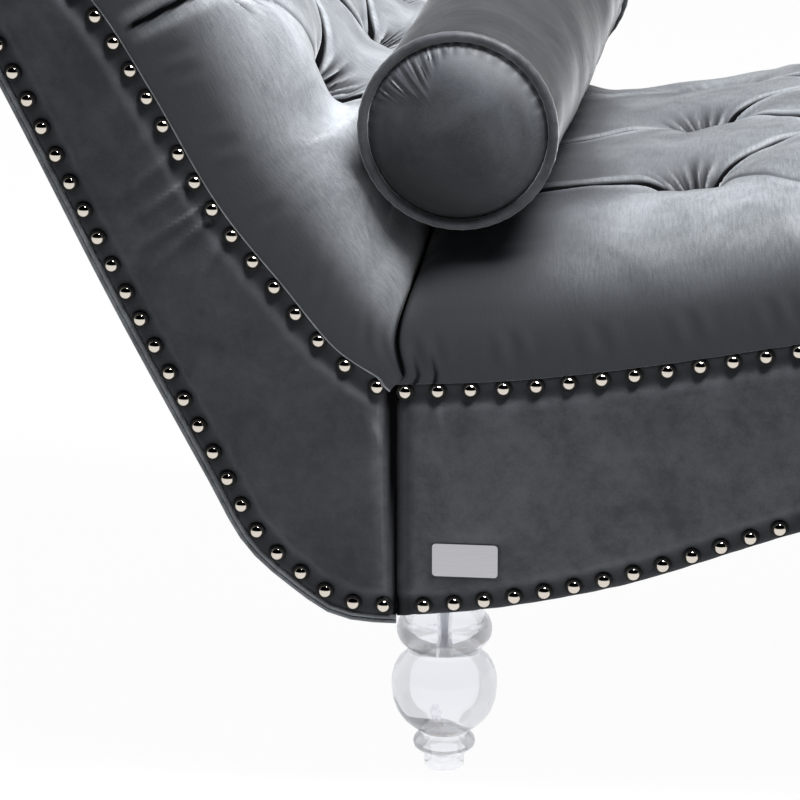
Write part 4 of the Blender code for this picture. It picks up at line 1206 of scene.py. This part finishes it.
roll = bolster_frame()
seat = seat_rows()
back = back_rows()
seat_places = button_places(SEAT_BUTTON_ROWS, seat.run[FINE], 0.0)
seat_cover = cushion("seat_cushion_cover", seat, seat_places, 1, roll, gather_from=math.pi / 2,
                     crook_depth=0.009, fullness=seat_fullness, power=CROWN_POWER, brushed=0.35,
                     material=seat_velvet)
hand_over(seat_cover, "chaise", "velvet", "seat_cushion")
back_places = button_places(BACK_BUTTON_ROWS, back.run[FINE], BACK_BOW)
back_cover = cushion("back_cushion_cover", back, back_places, -1, roll, gather_from=math.pi * 0.75,
                     crook_depth=0.007, fullness=back_fullness, power=2.5, brushed=0.28,
                     material=back_velvet)
hand_over(back_cover, "chaise", "velvet", "back_cushion")
seat_buttons = covered_buttons("seat_buttons", seat, seat_places, seat_fullness, button_velvet)
hand_over(seat_buttons, "chaise", "velvet")
back_buttons = covered_buttons("back_buttons", back, back_places, back_fullness, button_velvet)
hand_over(back_buttons, "chaise", "velvet")

seat_top, seat_foot, seat_lower = seat_edges(4)
back_front, back_rear = back_edges(4)
seat_outline = whole_outline(seat_top.points + seat_foot.points[::-1] + seat_lower.points[::-1], 1)
back_outline = whole_outline(back_front.points + back_rear.points[::-1], -1)
back_nailed = [(back_rear, BACK_REAR_NAILS), (back_front, BACK_FRONT_NAILS)]
seat_nailed = [(seat_lower, SEAT_LOWER_NAILS), (seat_top, SEAT_TOP_NAILS), (seat_foot, SEAT_FOOT_NAILS)]
back_nails = nail_places(back_nailed)
seat_nails = nail_places(seat_nailed)
plate = ((PLATE_X, PLATE_Z), PLATE_W / 2, PLATE_H / 2)

for end_name, side in (("front", -1), ("rear", 1)):
    panel = side_panel("back_side_velvet_" + end_name, back_outline, back_nailed, SEAM_BEND, back_nails,
                       BACK_WRINKLES, side, puff=0.0062, open_nap=0.55, material=side_velvet)
    hand_over(panel, "chaise", "velvet", "back_side_panel_" + end_name)
    panel = side_panel("seat_side_velvet_" + end_name, seat_outline, seat_nailed, SEAT_SEAM, seat_nails,
                       SEAT_WRINKLES, side, puff=0.0045, open_nap=0.95, material=side_velvet,
                       plate=plate if side < 0 else None)
    hand_over(panel, "chaise", "velvet", "seat_side_panel_" + end_name)
    for unit, nails in (("back", back_nails), ("seat", seat_nails)):
        heads = nail_trim(unit + "_nail_trim_" + end_name, NAIL_HEAD, nails, side, nickel)
        hand_over(heads, "chaise", "steel")
        dark_rings = nail_trim(unit + "_nail_shadow_rings_" + end_name, CRUSHED_SHADOW_RING, nails, side, crushed_velvet_shadow)
        hand_over(dark_rings, "chaise", "velvet")
    corner = side * (OUTER_Y - 0.0022)
    lines = [[world(point, corner) for point in edge.inset(-off)[::2]]
             for edge in (back_rear, seat_foot) for off in WELT_PLACES]
    hand_over(welt("edge_welt_" + end_name, lines, WELT_R, welt_velvet_lit), "chaise", "velvet")

back_panel = outer_panel("back_outer_velvet", back_rear, first=0, depth=0.004, material=side_velvet)
hand_over(back_panel, "chaise", "velvet", "back_outer_panel")
foot_panel = outer_panel("foot_end_velvet", seat_foot, first=4, depth=0.003, material=side_velvet)
hand_over(foot_panel, "chaise", "velvet", "foot_end_panel")

cover = bolster_cover(roll, roll_velvet)
hand_over(cover, "bolster", "bolster_velvet", "bolster_cushion")
for end_name, side in (("front", -1), ("rear", 1)):
    cord = bolster_piping("bolster_cord_" + end_name, roll, side, piping_velvet)
    hand_over(cord, "bolster", "bolster_velvet", "bolster_piping_" + end_name)

for corner, from_seam, side in (("rear_left", REAR_LEG_X, -1), ("rear_right", REAR_LEG_X, 1),
                                ("front_left", FRONT_LEG_X, -1), ("front_right", FRONT_LEG_X, 1)):
    leg = turned_leg("turned_leg_" + corner, SEAM_X + from_seam, side * LEG_Y, acrylic)
    hand_over(leg, "chaise", "acrylic", "leg_" + corner)

# Finishes of the solids
FINISHES = {"acrylic": acrylic, "steel": zinc_plate(), "plate": satin_plate(), "plywood": birch_plywood(),
            "foam": cut_foam(), "cambric": woven("black_cambric", "#08080a", "#1b1b1e", 0.0012, 0.9),
            "webbing": woven("jute_webbing", "#4b4433", "#7d7358", 0.0020, 0.85), "velvet": side_velvet,
            "bolster_velvet": piping_velvet}
SLOTS = {item["node"]: item["material_slot"] for item in frame["record"]["subparts"]}
for node_name, solid in frame["nodes"].items():
    solid.data.materials.clear()
    solid.data.materials.append(FINISHES[SLOTS[node_name]])

# Floor, light and camera

def floor():
    """A plain pale floor that shows white to the camera and keeps a faint shadow."""
    bm = bmesh.new()
    bmesh.ops.create_grid(bm, x_segments=1, y_segments=1, size=12.0)
    material, tree = new_finish("pale_studio_floor", Base_Color=hex_colour("#f4f4f4"), Roughness=0.9)
    white = add(tree, "Emission", {"Color": hex_colour("#ffffff"), "Strength": 1.0}).outputs[0]
    mix_in(tree, reckon(tree, "MULTIPLY", white_rays(tree), 0.97), white)
    return make_piece("studio_floor", bm, material)


def studio():
    """White round the object for the camera and through the acrylic. In gloss it is dark above the camera."""
    world_data = bpy.data.worlds.new("studio")
    bpy.context.scene.world = world_data
    world_data.use_nodes = True
    sky = world_data.node_tree
    sky.nodes.clear()
    aim = add(sky, "SeparateXYZ", {0: add(sky, "TexCoord").outputs["Generated"]}).outputs
    above = level(sky, aim["Z"], 0.0, 1.0, -0.02, 0.10)
    front = level(sky, aim["Y"], 0.0, 1.0, 0.25, -0.05)
    in_gloss = add(sky, "LightPath").outputs["Is Glossy Ray"]
    dark = reckon(sky, "MULTIPLY", reckon(sky, "MULTIPLY", above, front), in_gloss)
    light = reckon(sky, "SUBTRACT", white_rays(sky), dark)
    strength = reckon(sky, "SUBTRACT", level(sky, light, 0.13, 1.0), level(sky, dark, 0.0, 0.14))
    dome = add(sky, "Background", {"Color": hex_colour("#ffffff"), "Strength": strength})
    add(sky, "OutputWorld", {"Surface": dome.outputs[0]})


def soft_box(name, place, target, width, height, power):
    """A white area lamp aimed at a target."""
    data = bpy.data.lights.new(name, "AREA")
    data.shape = "RECTANGLE"
    data.size = width
    data.size_y = height
    data.energy = power
    lamp = bpy.data.objects.new(name, data)
    lamp.location = place
    lamp.rotation_mode = "QUATERNION"
    lamp.rotation_quaternion = (Vector(target) - Vector(place)).to_track_quat("-Z", "Y")
    bpy.context.scene.collection.objects.link(lamp)


floor()
studio()
soft_box("overhead", (0.35, -0.40, 2.6), (0.0, 0.0, 0.4), 1.0, 0.9, 155)
soft_box("behind", (0.6, 2.2, 1.8), (0.0, 0.0, 0.5), 1.8, 1.0, 5)

camera = bpy.data.objects.new("camera", bpy.data.cameras.new("camera"))
camera.data.sensor_width = 36.0
camera.data.lens = 210.6
camera.location = (0.1317, -4.1139, 1.4676)
toward_camera = Vector((0.10854, -0.95266, 0.28402))
camera.rotation_mode = "QUATERNION"
camera.rotation_quaternion = (-toward_camera).to_track_quat("-Z", "Y")
bpy.context.scene.collection.objects.link(camera)
bpy.context.scene.camera = camera
bpy.context.scene.view_settings.view_transform = "Standard"
